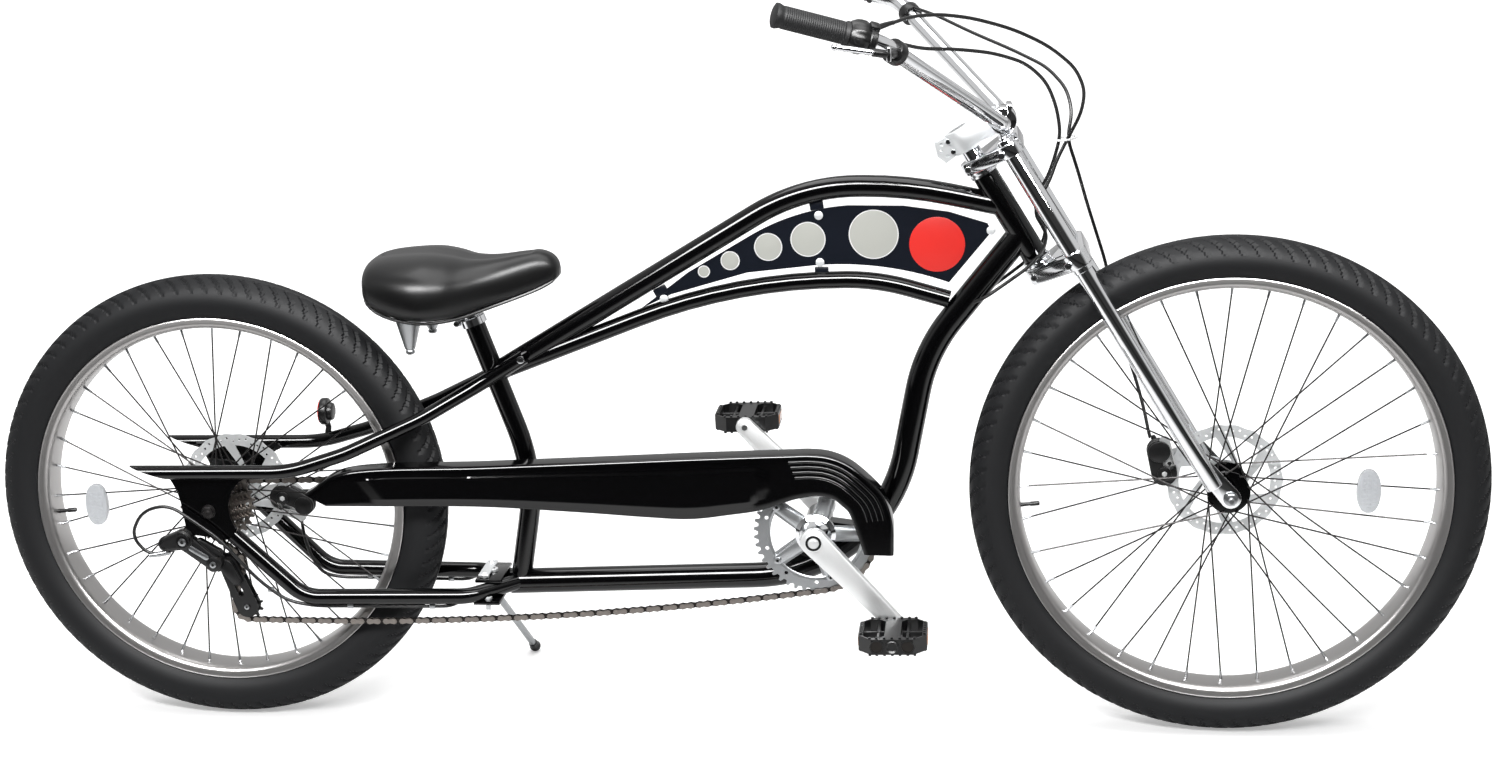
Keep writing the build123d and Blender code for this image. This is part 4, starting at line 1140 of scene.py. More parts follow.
@dataclass(frozen=True)
class StayBuilder:
    """Upper stays with spear tips, lower stays, and the small parts on them."""

    tail_y: float = 84.0
    plate_y: float = 74.0
    upper_radius: float = 10.5
    lower_radius: float = 12.0
    clips: tuple[Point, ...] = (
        (86, -75, 224),
        (205, -66.5, 196.6),
        (330, -62, 196.3),
        (200, 65.7, 196.6),
        (330, 62, 196.4),
    )

    def build(self) -> None:
        """Build both sides."""
        for side, name in ((-1, "right"), (1, "left")):
            self._stay(side, name)
            self._lower_stay(side, name)
        self._collar_bolts()

    def _stay(self, side: int, name: str) -> None:
        """Build an upper stay, cut to a point behind the wheel.

        Args:
            side: One for the rider's left, minus one for the right.
            name: Name of the side.
        """
        tail = self.tail_y
        route = (
            (482, 24.5, 574),
            (415, 24.5, 533),
            (325, 57, 485),
            (215, tail - 8, 437.5),
            (130, tail, 411.5),
            (-114, tail, 409.5),
        )
        path = rounded_path([(x, side * y, z) for x, y, z in route], (150, 180, 250, 200), 2)
        forge = Forge(f"stay {name}", Finish.PAINT)
        forge.tube(path, self.upper_radius, 28)
        forge.cut((-83, 0, 409.5), (-21, 0, -62))
        forge.build("frame", f"stay_{name}")

    def _lower_stay(self, side: int, name: str) -> None:
        """Build a lower stay, from the yoke to the axle plate.

        Args:
            side: One for the rider's left, minus one for the right.
            name: Name of the side.
        """
        route = ((450, 10, 218), (385, 60, 212), (135, self.plate_y - 5, 211), (34, self.plate_y, 310))
        forge = Forge(f"lower stay {name}", Finish.PAINT)
        path = rounded_path([(x, side * y, z) for x, y, z in route], (45, 60), 3)
        forge.tube(path, self.lower_radius, 28)
        forge.build("frame", f"lower_stay_{name}")

    def _collar_bolts(self) -> None:
        """Build the bolts at the stays' front ends, and the clips that hold the cables."""
        forge = Forge("frame bolts", Finish.CHROME)
        for side in (-1, 1):
            forge.bolt(facing(crosswise(478, 572, side * 34), side), 5.5, 4)
        forge.build("frame")
        clips = Forge("cable clips", Finish.STEEL)
        for place in self.clips:
            clips.block(Matrix.Translation(place), (9, 7, 7), 1.2)
        clips.build("frame")


@dataclass(frozen=True)
class PanelBuilder:
    """Discs, roundel, lugs and bolts of the panel."""

    face: float = 2.0
    discs: tuple[Point, ...] = (
        # X, Z, radius
        (749, 697, 9),
        (788, 713, 14),
        (844, 733, 20.5),
        (902, 744, 25.5),
        (997, 751, 36),
    )
    roundel: Point = (1088, 736, 40)
    bolts: tuple[Flat, ...] = ((918, 779), (919, 710), (1165, 756), (689, 656))
    lugs: tuple[Point, ...] = (
        # X, Z, turn
        (915, 793, 0.15),
        (921, 697, 0.0),
        (684, 668, 0.5),
    )

    def build(self) -> None:
        """Build what lies on both faces, and the lugs across them."""
        discs = Forge("panel discs", Finish.DISC)
        rims = Forge("panel disc rims", Finish.WHITE)
        roundel = Forge("panel roundel", Finish.RED)
        bolts = Forge("panel bolts", Finish.ROTOR)
        low = self.face
        for side in (-1, 1):
            for x, z, radius in self.discs:
                place = facing(crosswise(x, z), side)
                inner = radius - 1.5
                discs.disc(place, radius - 1.2, low, 2.9, 64, 0.3)
                rims.lathe(place, ((inner, low), (radius, low), (radius, 3.0), (inner, 3.0)), 64)
            x, z, radius = self.roundel
            roundel.disc(facing(crosswise(x, z), side), radius, low, 3.0, 72, 0.3)
            for x, z in self.bolts:
                bolts.disc(facing(crosswise(x, z), side), 6.4, low, 4.4, 28, 0.9)
        discs.build("frame", "panel_discs")
        rims.build("frame")
        roundel.build("frame", "panel_roundel")
        bolts.build("frame")
        lugs = Forge("panel lugs", Finish.PANEL)
        for x, z, turn in self.lugs:
            lugs.block(crosswise(x, z) @ Matrix.Rotation(turn, 4, "Z"), (20, 12, 6), 1.5)
        lugs.build("frame")


@dataclass(frozen=True)
class GuardBuilder:
    """Chain guard: a lipped cover with a raised tail panel and ribs round the front."""

    face: float = 75.0
    lip: float = 42.0
    rib_insets: tuple[float, ...] = (0.10, 0.17, 0.24, 0.31)
    rib_centre: Point = (912, 330, 0)
    rib_start: float = 868.0
    stations: tuple[tuple[float, float, float, float], ...] = (
        # outer X, outer Z, under X, under Z
        (148, 374, 181, 356),
        (220, 410, 262, 356.4),
        (418, 419, 415, 357),
        (560, 425.7, 560, 350),
        (660, 430.6, 660, 343.5),
        (730, 434, 727, 341),
        (790, 436.6, 786, 348),
        (840, 438.7, 833, 356),
        (875, 440, 880, 372),
        (903, 441, 908, 377),
        (932, 438, 924, 376.5),
        (961, 426, 938, 373),
        (989, 403, 951, 363),
        (1012, 376, 961, 352),
        (1024, 337, 970, 327),
        (1025, 288, 982, 289),
    )

    def build(self) -> None:
        """Build the cover and its ribs."""
        outer = smooth_path([(x, z, 0) for x, z, _, _ in self.stations], 12)
        under = smooth_path([(x, z, 0) for _, _, x, z in self.stations], 12)
        place = crosswise(0, 0)
        forge = Forge("chain guard", Finish.PAINT)
        forge.skin([[place @ point for point in self._section(o, u)] for o, u in zip(outer, under)])
        first = next(index for index, point in enumerate(outer) if point.x > self.rib_start)
        for inset in self.rib_insets:
            line = [point.lerp(Vector(self.rib_centre), inset) for point in outer[first:-14]]
            forge.tube([place @ Vector((point.x, point.y, self.face - 1.0)) for point in line], 2.7, 12)
        forge.build("frame", "chain_guard", sharp=50)

    def _section(self, outer: Vector, under: Vector) -> list[Vector]:
        """Points of the cover's wall at one station, round the whole wall.

        Args:
            outer: Place of the wall's outer edge.
            under: Place of its under edge.

        Returns:
            The points.
        """
        across = under - outer
        width = across.length
        across /= width
        profile = [(0.0, self.lip), (0.0, 69.0), (0.6, 72.2), (2.4, 74.3), (5.5, self.face)]
        for share in (0.12, 0.17, 0.2, 0.23, 0.35, 0.5, 0.65, 0.8, 0.84, 0.88):
            profile.append((5.5 + (width - 8) * share, self.face + self._swage(outer.x, share)))
        profile += [(width - 2.2, self.face), (width - 0.6, 74.4), (width, 73.4), (width - 1.5, 72.8)]
        profile += [(width * 0.5, 73.0), (6, 72.8), (2.8, 70.5), (2.0, 68), (2.0, self.lip)]
        return [Vector((outer.x + across.x * t, outer.y + across.y * t, depth)) for t, depth in profile]

    @staticmethod
    def _swage(x: float, share: float) -> float:
        """Height of the raised tail panel.

        Args:
            x: Forward place.
            share: Share of the way from the outer edge to the under edge.

        Returns:
            The height over the face.
        """
        end = 852 - 52 * (2 * (share - 0.5)) ** 2
        if not 0.19 < share < 0.85 or x > end or x < 230:
            return 0.0
        return 1.9 * min(1.0, (end - x) / 6)


@dataclass(frozen=True)
class SeatBuilder:
    """Saddle with its cone springs, rails, post and clamp."""

    dip_depth: float = 3.5
    dip_width: float = 12.0
    spring_place: Point = (322, 68, 588)
    sections: tuple[tuple[float, float, float, float], ...] = (
        # X, half width, low Z, high Z
        (251, 24, 688, 700),
        (254, 60, 672, 713),
        (262, 84, 660, 720.5),
        (282, 99, 648, 726),
        (315, 113, 640, 729),
        (348, 118, 637, 729.5),
        (378, 106, 638, 725.5),
        (402, 88, 641, 720.5),
        (428, 68, 648, 720),
        (452, 53, 655, 722.5),
        (480, 42, 664, 727),
        (505, 33, 673, 729.5),
        (522, 25.5, 681, 725),
        (532, 18, 688, 716),
        (536, 8, 693, 706),
    )
    spring_profile: tuple[Flat, ...] = (
        # distance from the spring's axis, height over its tip
        (0, 0),
        (4.5, 0.4),
        (6.4, 2),
        (6.8, 4.5),
        (5.6, 7),
        (7.6, 9),
        (18.5, 50),
        (21, 52),
        (21.5, 54.5),
        (17, 57),
        (16, 66),
        (0, 66),
    )
    upper_rail: tuple[Point, ...] = (
        (322, 66, 652),
        (350, 45, 642),
        (385, 24, 640),
        (420, 22, 646),
        (462, 20, 668),
    )
    lower_rail: tuple[Point, ...] = ((300, 70, 650), (296, 66, 646), (348, 60, 637), (362, 50, 636))

    def build(self) -> None:
        """Build the seat group."""
        self._cushion()
        self._springs()
        self._post()

    def _section(self, x: float, width: float, low: float, high: float) -> list[Vector]:
        """Points of the cushion at one place, rounder above than below.

        Args:
            x: Forward place.
            width: Half the width.
            low: Lowest height.
            high: Highest height, beside the hollow along the middle.

        Returns:
            The points.
        """
        middle = low + (high - low) * 0.42
        section = []
        for angle in turns(48):
            cosine, sine = math.cos(angle), math.sin(angle)
            above = sine > 0
            across = width * math.copysign(abs(cosine) ** (0.75 if above else 0.42), cosine)
            rise = (high - middle) if above else (middle - low)
            height = rise * math.copysign(abs(sine) ** (0.8 if above else 0.7), sine)
            hollow = math.exp(-((across / self.dip_width) ** 2)) * max(0.0, sine)
            dip = self.dip_depth * hollow if 270 < x < 500 else 0.0
            section.append(Vector((x, across, middle + height - dip)))
        return section

    def _cushion(self) -> None:
        """Build the padded cover and the edge of the pan under it."""
        widths = smooth_path([(x, width, low) for x, width, low, _ in self.sections], 5)
        heights = smooth_path([(x, high, 0) for x, _, _, high in self.sections], 5)
        forge = Forge("saddle", Finish.LEATHER)
        forge.skin([self._section(*width, high.y) for width, high in zip(widths, heights)])
        cushion = forge.build("frame", "saddle", sharp=80)
        edge = Forge("saddle pan", Finish.PLASTIC)
        half = [(x, width * 0.80, low + 2.2) for x, width, low in widths[6:-8:2]]
        edge.tube(half + [(x, -y, z) for x, y, z in reversed(half)], 2.4, 8)
        edge.build("frame")

    def _springs(self) -> None:
        """Build two plated cones with their tips, and the rails."""
        forge = Forge("saddle springs", Finish.STEEL)
        x, y, z = self.spring_place
        for side in (-1, 1):
            forge.lathe(Matrix.Translation((x, side * y, z)), self.spring_profile, 40, closed=False)
        forge.build("frame", "saddle_springs", sharp=40)
        rails = Forge("saddle rails", Finish.CHROME)
        for side in (-1, 1):
            rails.tube(smooth_path([(x, side * y, z) for x, y, z in self.upper_rail]), 3.5, 12)
            rails.tube(smooth_path([(x, side * y, z) for x, y, z in self.lower_rail]), 2.2, 10)
        rails.build("frame")

    @staticmethod
    def _post() -> None:
        """Plated post, collar with its binder and the rail clamp."""
        base = along((404, 0, 617), (404 - 0.3292 * 50, 0, 617 + 0.9442 * 50))
        forge = Forge("seat post", Finish.CHROME)
        forge.disc(base, 13.6, 0.3, 34, 36, 0.8)
        forge.lathe(base, ((16, 0.4), (19.5, 0.4), (19.5, 11.4), (18.6, 12.3), (13.7, 12.3), (13.7, 0.4)), 40)
        forge.block(Matrix.Translation((382, 0, 620)) @ Matrix.Rotation(-0.335, 4, "Y"), (14, 14, 9), 1.5)
        for side in (1, -1):
            forge.bolt(facing(crosswise(379, 620, side * 8), side), 4.5, 5)
        forge.build("frame", "seat_post")
        clamp = Forge("rail clamp", Finish.STEEL)
        clamp.block(Matrix.Translation((393, 0, 644)) @ Matrix.Rotation(-0.2, 4, "Y"), (30, 52, 14), 3)
        clamp.disc(crosswise(393, 644), 5, -32, 32, 20, 1)
        clamp.build("frame")


@dataclass
class SteeringBuilder:
    """Fork, clamps, stem, handlebar and its controls."""

    leg_radius: float = 13.0
    bar_radius: float = 11.1
    bar: tuple[Point, ...] = ((894, 345, 1096.2), (1023.6, 300, 1056.2), (1181.6, 60, 915.2))
    stem_plate: tuple[Flat, ...] = ((-14, 2), (-38, 0), (-44, 14), (-38, 33), (-14, 32))
    shifter_profile: tuple[Flat, ...] = (
        # distance from the bar's axis, place along it
        (11.2, 98.3),
        (16.2, 98.4),
        (18.6, 101),
        (20.6, 106),
        (21.6, 112),
        (21.4, 118),
        (19.8, 123),
        (19.0, 124),
        (20.2, 125.5),
        (20, 132),
        (18.2, 134),
        (11.2, 134.3),
    )
    cable_exit: tuple[Point, ...] = ((1017, -303, 1074), (1026, -293, 1077), (1040, -279, 1079))
    exit_radii: tuple[float, ...] = (5, 4.2, 3.4, 3.4, 3.2, 3.2, 3.1, *(3.0,) * 10)
    head: Matrix = field(init=False)

    def __post_init__(self) -> None:
        """Set the frame of the fork."""
        self.head = steering_frame()

    def at(self, forward: float, across: float, up: float) -> Matrix:
        """Frame at a place given along the steering axis.

        Args:
            forward: Distance ahead of the axis.
            across: Distance to the rider's left.
            up: Distance up the axis.

        Returns:
            The frame.
        """
        return self.head @ Matrix.Translation((forward, across, up))

    def build(self) -> None:
        """Build the group."""
        self._legs()
        self._clamps()
        self._stem()
        self._bar()
        self._grips()
        self._shifter()
        self._levers()
        self._ties()

    def _legs(self) -> None:
        """Plated legs with caps and axle plates."""
        forge = Forge("fork legs", Finish.CHROME)
        for side in (-1, 1):
            axis = self.at(LEG_OFFSET, side * LEG_Y, 0)
            forge.disc(axis, self.leg_radius, -482, 106, 48, 1.6)
            forge.lathe(axis, ((13, -112), (14.6, -111), (14.6, -105), (13, -104)), 40)
            plate = self.at(0, side * (LEG_Y - 2), 0) @ Matrix.Rotation(math.pi / 2, 4, "X")
            rounds = (
                (LEG_OFFSET - 1, -458, 9),
                (FORK_OFFSET, -FORK_REACH, 15),
                (LEG_OFFSET + 8, -434, 3),
            )
            outline = wrap_rounds(rounds, 32)
            forge.prism(plate, outline, -3.0, 3.0, 0.8)
        forge.build("steering", "fork_legs")
        caps = Forge("leg caps", Finish.CHROME)
        for side in (-1, 1):
            caps.bolt(self.at(LEG_OFFSET, side * LEG_Y, 106), 7, 3.5)
        caps.build("steering")

    def _clamps(self) -> None:
        """Two bridges between the legs with pinch bolts."""
        outline = wrap_rounds(((0, 0, 24), (LEG_OFFSET, LEG_Y, 19), (LEG_OFFSET, -LEG_Y, 19)))
        forge = Forge("fork clamps", Finish.CHROME)
        for low, height in ((80.3, 19.0), (-104.3, 24.0)):
            forge.prism(self.at(0, 0, low), outline, 0, height, 2.2)
            for side in (-1, 1):
                across = Matrix.Rotation(-side * math.pi / 2, 4, "X")
                middle = low + height / 2
                forge.bolt(self.at(LEG_OFFSET - 14, side * (LEG_Y + 14), middle) @ across, 5, 5)
                forge.bolt(self.at(-16, side * 16, middle) @ across, 4.6, 6)
        forge.build("steering", "fork_clamps")

    def _stem(self) -> None:
        """Stem block, its cap, ridged face plate and rear plate."""
        base = self.at(0, 0, 113)
        forge = Forge("stem", Finish.CHROME)
        forge.paint(Finish.ROTOR)
        forge.prism(base, wrap_rounds(((0, 0, 22), (44, 0, 17))), 0, 34, 2.5)
        forge.block(base @ Matrix.Translation((-24, 0, 17)), (22, 12, 28), 1.5)
        flank = base @ Matrix.Rotation(math.pi / 2, 4, "X")
        holes = [ring(2.8, 16, u, v) for u, v in ((-31, 8), (-36, 18), (-30, 26))]
        for low in (-9.0, 6.5):
            forge.plate(flank, self.stem_plate, low, low + 2.5, holes)
        forge.paint(Finish.CHROME)
        bar_x, _, bar_z = self.bar[-1]
        forge.disc(crosswise(bar_x, bar_z), 19, -22, 22, 40, 2)
        face = Matrix.Translation((1189.5, 0, 918))
        forge.block(face, (8, 44, 40), 1.6)
        for step in range(5):
            forge.block(face @ Matrix.Translation((4.2, 0, -16 + step * 8)), (1.8, 40, 3.0), 0.5)
        for side in (-1, 1):
            across = Matrix.Rotation(-side * math.pi / 2, 4, "X")
            for forward, up in ((-21, 9), (-20, 25)):
                forge.bolt(base @ Matrix.Translation((forward, side * 9, up)) @ across, 3.6, 4)
        forge.build("steering", "stem")
        steerer = Forge("steerer", Finish.CHROME)
        steerer.disc(self.head, 14.3, -104.3, 147, 40, 1)
        steerer.build("steering", "steerer")

    def _bar(self) -> None:
        """Handlebar on the route that the CAD model has."""
        route = [(x, -y, z) for x, y, z in self.bar] + list(self.bar[::-1])
        forge = Forge("handlebar", Finish.CHROME)
        forge.tube(rounded_path(route, (70, 45, 45, 70), 3), self.bar_radius, 32)
        forge.build("steering", "handlebar")

    def bar_points(self, side: int) -> list[Vector]:
        """Tip, outer bend and inner bend of the bar on one side."""
        return [Vector((x, side * y, z)) for x, y, z in self.bar]

    def grip_frame(self, side: int) -> Matrix:
        """Frame at the bar's end whose local Z runs up the grip."""
        tip, bend, _ = self.bar_points(side)
        return along(tip, bend)

    def _grips(self) -> None:
        """Rubber grips with a flange and fine rings."""
        forge = Forge("grips", Finish.RUBBER)
        profile = [(0.0, -3.0), (13.0, -3.0), (16.2, -1.5), (16.6, 2), (15.6, 5), (14.6, 8)]
        for step in range(28):
            low = 10 + step * 2.9
            profile += [(14.6, low), (15.0, low + 0.5), (15.0, low + 1.9), (14.6, low + 2.4)]
        profile += [(14.8, 93), (16.4, 95), (16.4, 97.5), (11.0, 98.0), (11.0, 96.0)]
        for side in (-1, 1):
            forge.lathe(self.grip_frame(side), profile, 48, closed=False)
        forge.build("steering", "grips", sharp=50)

    def _shifter(self) -> None:
        """Bulging twist shifter with finger ridges."""
        forge = Forge("twist shifter", Finish.PLASTIC)
        place = self.grip_frame(-1)
        back = place.inverted()
        for vert in forge.lathe(place, self.shifter_profile, 72):
            local = back @ vert.co
            turn = round(math.atan2(local.y, local.x) / math.tau * 72)
            if turn % 6 < 3 and 101 < local.z < 122:
                share = 1 + 0.9 / math.hypot(local.x, local.y)
                vert.co = place @ Vector((local.x * share, local.y * share, local.z))
        forge.build("steering", "twist_shifter", sharp=40)
        case = Forge("shifter case", Finish.PLASTIC)
        turned = place @ Matrix.Translation((0, 0, 128)) @ Matrix.Rotation(0.5, 4, "Z")
        case.block(turned @ Matrix.Translation((0, 17, 0)), (15, 14, 14), 3)
        case.tube(smooth_path(self.cable_exit), self.exit_radii, 14)
        case.build("steering")

    def _levers(self) -> None:
        """Brake levers: a black clamp and hood with a bright blade."""
        forge = Forge("brake levers", Finish.PLASTIC)
        for side in (-1, 1):
            tip, bend, inner = self.bar_points(side)
            down_bar = (inner - bend).normalized()
            outboard = Vector((45, side * 129, 0)).normalized()
            start = bend + down_bar * 28
            forge.paint(Finish.PLASTIC)
            forge.disc(along(start, start + down_bar), 16.6, 0, 16, 32, 1.5)
            forge.tube([start + down_bar * 8, start + outboard * 22 - Vector((0, 0, 5))], (9, 7), 16)
            knee = bend + outboard * 38 - Vector((0, 0, 12))
            end = bend.lerp(tip, 0.52) + outboard * 40 - Vector((0, 0, 20))
            hood = (start + outboard * 16 - Vector((0, 0, 4)), knee, knee.lerp(end, 0.3))
            forge.tube(rounded_path(hood, (20,), 5), 5.4, 16)
            forge.paint(Finish.CHROME)
            forge.tube((knee.lerp(end, 0.2), knee.lerp(end, 0.7), end), (3.4, 4.2, 3.6), 14)
            forge.ball(end, 4.6, steps=16)
            pivot = Vector((0, 0, 8))
            forge.disc(along(knee + pivot, knee - pivot), 3.2, -1, 17, 16, 0.6)
        forge.build("steering", "brake_levers")

    def _ties(self) -> None:
        """Build the pale tie round the three cables."""
        forge = Forge("cable tie", Finish.WHITE)
        middle = Vector((1270, -5, 888))
        path = []
        for step in range(25):
            angle = math.tau * step / 24
            path.append(middle + Vector((15 * math.cos(angle), 17 * math.sin(angle), 2 * math.cos(angle))))
        forge.tube(path, 1.6, 8)
        forge.build("steering")


@dataclass(frozen=True)
class HubSpec:
    """Sizes of one hub, the seat of its rotor and its axle."""

    half: float
    shell: float
    rotor_y: float
    axle: float
    axle_body: str
    axle_finish: Finish


HUBS = {
    "rear": HubSpec(71.0, 17.0, 54.0, 5.0, "frame", Finish.SPOKE),
    "front": HubSpec(51.0, 14.0, 37.0, 4.5, "steering", Finish.STEEL),
}


@dataclass(frozen=True)
class CaliperSpec:
    """Place of one caliper: rounds are X, Z and radius."""

    name: str
    body: str
    hub: Flat
    rounds: tuple[Point, Point]
    bracket: tuple[Point, Point]
    plate_y: float


CALIPERS: tuple[CaliperSpec, ...] = (
    CaliperSpec(
        "rear",
        "frame",
        (0.0, REAR_RADIUS),
        ((74, 330, 26), (106, 318, 20)),
        ((34, 332, 10), (80, 329, 22)),
        65.0,
    ),
    CaliperSpec(
        "front",
        "steering",
        (WHEEL_BASE, FRONT_RADIUS),
        ((1420, 385, 24), (1412, 418, 22)),
        ((1418, 398, 12), (1468, 421, 10)),
        48.0,
    ),
)


@dataclass(frozen=True)
class BrakeBuilder:
    """Calipers, drilled rotors and their bolts."""

    rotor_radius: float = 84.0
    rotor_wave: float = 0.8
    wave_count: int = 18
    arm_count: int = 6
    hole_count: int = 48
    hole_rows: tuple[float, ...] = (73, 78, 75.5)

    def build(self) -> None:
        """Build both brakes."""
        for caliper in CALIPERS:
            self._caliper(caliper)
        for spec in WHEELS:
            self._rotor(spec, HUBS[spec.name].rotor_y)

    @staticmethod
    def _caliper(caliper: CaliperSpec) -> None:
        """Build the cast body in two halves astride the rotor, on a bright bracket.

        Args:
            caliper: Its place.
        """
        forge = Forge(f"{caliper.name} caliper", Finish.PLASTIC)
        place = crosswise(0, 0)
        plate_y, rotor_y = caliper.plate_y, HUBS[caliper.name].rotor_y
        (x, z, wide), (far_x, far_z, narrow) = caliper.rounds
        way = Vector((caliper.hub[0] - far_x, caliper.hub[1] - far_z, 0)).normalized()
        core = wrap_rounds(((x, z, wide - 5), (far_x, far_z, narrow - 4)), 28)
        forge.prism(place, core, -plate_y, -(rotor_y + 3), 2.0)
        forge.prism(place, core, -(rotor_y - 3), -(rotor_y - 7), 1.2)
        face = place @ Matrix.Translation((0, 0, -(rotor_y - 7)))
        for lobe in (0.0, 1.0):
            middle = Matrix.Translation((x + (far_x - x) * lobe, z + (far_z - z) * lobe, 0))
            forge.disc(face @ middle, 10 - 2 * lobe, -1, 2.2, 28, 0.8)
            forge.paint(Finish.ALLOY)
            forge.disc(face @ middle, 4.2, 2.0, 2.8, 6, 0.2)
            forge.paint(Finish.PLASTIC)
        back = crosswise(x, z, plate_y) @ Matrix.Rotation(math.pi, 4, "X")
        forge.disc(back, 14.5, 0, 9, 36, 2)
        arm = wrap_rounds(((x, z, 7), (far_x + way.x * -8, far_z + 16, 4)), 20)
        forge.prism(place, arm, -(plate_y + 7), -(plate_y + 2), 1.0)
        far_end = crosswise(far_x, far_z) @ Matrix.Translation((0, 0, -rotor_y))
        forge.disc(far_end, narrow - 6, -10, 10, 24, 1)
        forge.paint(Finish.ALLOY)
        forge.bolt(back @ Matrix.Translation((0, 0, 8.5)), 5, 3)
        hole = ring(3.4, 14, caliper.bracket[1][0] + 8, caliper.bracket[1][1] - 6)
        forge.plate(place, wrap_rounds(caliper.bracket, 24), -(plate_y + 6), -plate_y, [hole])
        near_ear = (x - way.y * 16, z + way.x * 16, 9)
        far_ear = (far_x - way.y * 18, far_z + way.x * 18, 8)
        hole = ring(3, 14, x - way.y * 17, z + way.x * 17)
        forge.plate(place, wrap_rounds((near_ear, far_ear), 20), -(rotor_y - 4), -(rotor_y - 7), [hole])
        forge.build(caliper.body, f"brake_caliper_{caliper.name}")

    def _rotor(self, spec: WheelSpec, rotor_y: float) -> None:
        """Build the thin steel disc with its drilled ring and swept arms, and its bolts.

        Args:
            spec: The wheel that it is on.
            rotor_y: Its distance to the rider's left.
        """
        place = crosswise(*spec.centre, rotor_y)
        edge = turns(216)
        wave = self.rotor_wave
        outline = [polar(self.rotor_radius + wave * math.cos(self.wave_count * a), a) for a in edge]
        holes = [ring(15, 32)]
        for start in turns(self.arm_count):
            outer = [polar(66.5, start + 0.12 + 0.62 + 0.80 * t / 8) for t in range(9)]
            inner = [polar(31.0, start + 0.20 + 0.62 * t / 6) for t in range(7)]
            holes.append(outer + inner[::-1])
        for count, angle in enumerate(turns(self.hole_count)):
            holes.append(ring(1.9, 8, *polar(self.hole_rows[count % 3], angle)))
        forge = Forge(f"{spec.name} rotor", Finish.ROTOR)
        forge.plate(place, outline, -1, 1, holes)
        forge.build(spec.body, f"{spec.name}_rotor")
        bolts = Forge(f"{spec.name} rotor bolts", Finish.STEEL)
        flipped = Matrix.Rotation(math.pi, 4, "X")
        for angle in turns(self.arm_count, 0.5):
            bolts.disc(place @ Matrix.Translation((*polar(20, angle), 0)) @ flipped, 3.4, 0.6, 3.2, 16, 0.6)
        bolts.build(spec.body)


@dataclass(frozen=True)
class HubBuilder:
    """Black hubs, plated axles with nuts, and the spoke reflectors."""

    bearing_gap: float = 0.1
    nut_radius: float = 9.4
    nut_height: float = 8.0
    thread_turns: int = 9
    thread_pitch: float = 1.6
    thread_depth: float = 0.6
    reflector_reach: float = 200.0
    reflector_half: Flat = (17.0, 32.0)

    def build(self) -> None:
        """Build both hubs."""
        for spec in WHEELS:
            hub = HUBS[spec.name]
            self._shell(spec, hub)
            self._axle(spec, hub)
            self._reflector(spec)

    def _shell(self, spec: WheelSpec, hub: HubSpec) -> None:
        """Build the turned shell with two flanges and the rotor's seat.

        Args:
            spec: The wheel.
            hub: Its hub.
        """
        flange, width, shell = spec.flange_radius, spec.flange_y, hub.shell
        bore, boss, end = hub.axle + self.bearing_gap, hub.axle + 6, hub.half - 3
        root = flange - 4
        profile = [
            (bore, -end),
            (boss, -end),
            (boss, -width - 1.6),
            (root, -width - 1.0),
            (flange, -width - 0.7),
            (flange, -width + 0.7),
            (root, -width + 1.0),
            (shell + 4, -width + 3),
            (shell, -width + 9),
            (shell - 1.5, 0),
            (shell, width - 9),
            (shell + 4, width - 3),
            (root, width - 1.0),
            (flange, width - 0.7),
            (flange, width + 0.7),
            (root, width + 1.0),
            (shell + 3, width + 2),
            (shell + 3, hub.rotor_y - 1),
            (boss, hub.rotor_y - 1),
            (boss, end),
            (bore, end),
        ]
        forge = Forge(f"{spec.name} hub", Finish.PAINT)
        forge.lathe(crosswise(*spec.centre) @ Matrix.Rotation(math.pi, 4, "X"), profile, 56)
        forge.build(spec.body, f"{spec.name}_hub")

    def _axle(self, spec: WheelSpec, hub: HubSpec) -> None:
        """Build the axle with washers, nuts and threaded ends.

        Args:
            spec: The wheel.
            hub: Its hub.
        """
        face = hub.half + 6
        forge = Forge(f"{spec.name} axle", hub.axle_finish)
        thread = [(hub.axle, -face)]
        for step in range(self.thread_turns):
            crest, groove = -face - 1 - step * self.thread_pitch, -face - 1.8 - step * self.thread_pitch
            thread += [(hub.axle, crest), (hub.axle - self.thread_depth, groove)]
        profile = [(0.0, -face - 16), (hub.axle - 0.8, -face - 16), *thread[::-1]]
        profile += [(out, -low) for out, low in reversed(profile)]
        forge.lathe(crosswise(*spec.centre), profile, 24, closed=False)
        for side in (-1, 1):
            turn = Matrix.Rotation(math.pi if side > 0 else 0.0, 4, "X")
            nut = crosswise(*spec.centre, side * face) @ turn
            forge.disc(nut, 10.6, 0.0, 1.6, 36, 0.4)
            forge.prism(nut, ring(self.nut_radius, 6), 1.6, self.nut_height, 0.8)
        forge.build(hub.axle_body, f"{spec.name}_axle")

    def _reflector(self, spec: WheelSpec) -> None:
        """Build the oval clear reflector between the spokes.

        Args:
            spec: The wheel.
        """
        middle = polar(self.reflector_reach, math.radians(spec.reflector_angle), *spec.centre)
        place = crosswise(*middle, -12.5)
        wide, high = self.reflector_half
        outline = []
        for angle in turns(40):
            cosine = math.cos(angle)
            outline.append((wide * math.copysign(abs(cosine) ** 0.8, cosine), high * math.sin(angle)))
        forge = Forge(f"{spec.name} wheel reflector", Finish.CLEAR)
        forge.prism(place, outline, -6, 6, 1.6)
        for row in range(-4, 5):
            for column in (-1, 0, 1):
                if abs(row) < 4 or column == 0:
                    facet = place @ Matrix.Translation((column * 8, row * 6.2, 6))
                    forge.block(facet, (5.6, 4.2, 1.2), 0.5)
        forge.build(spec.body, f"wheel_reflector_{spec.name}")


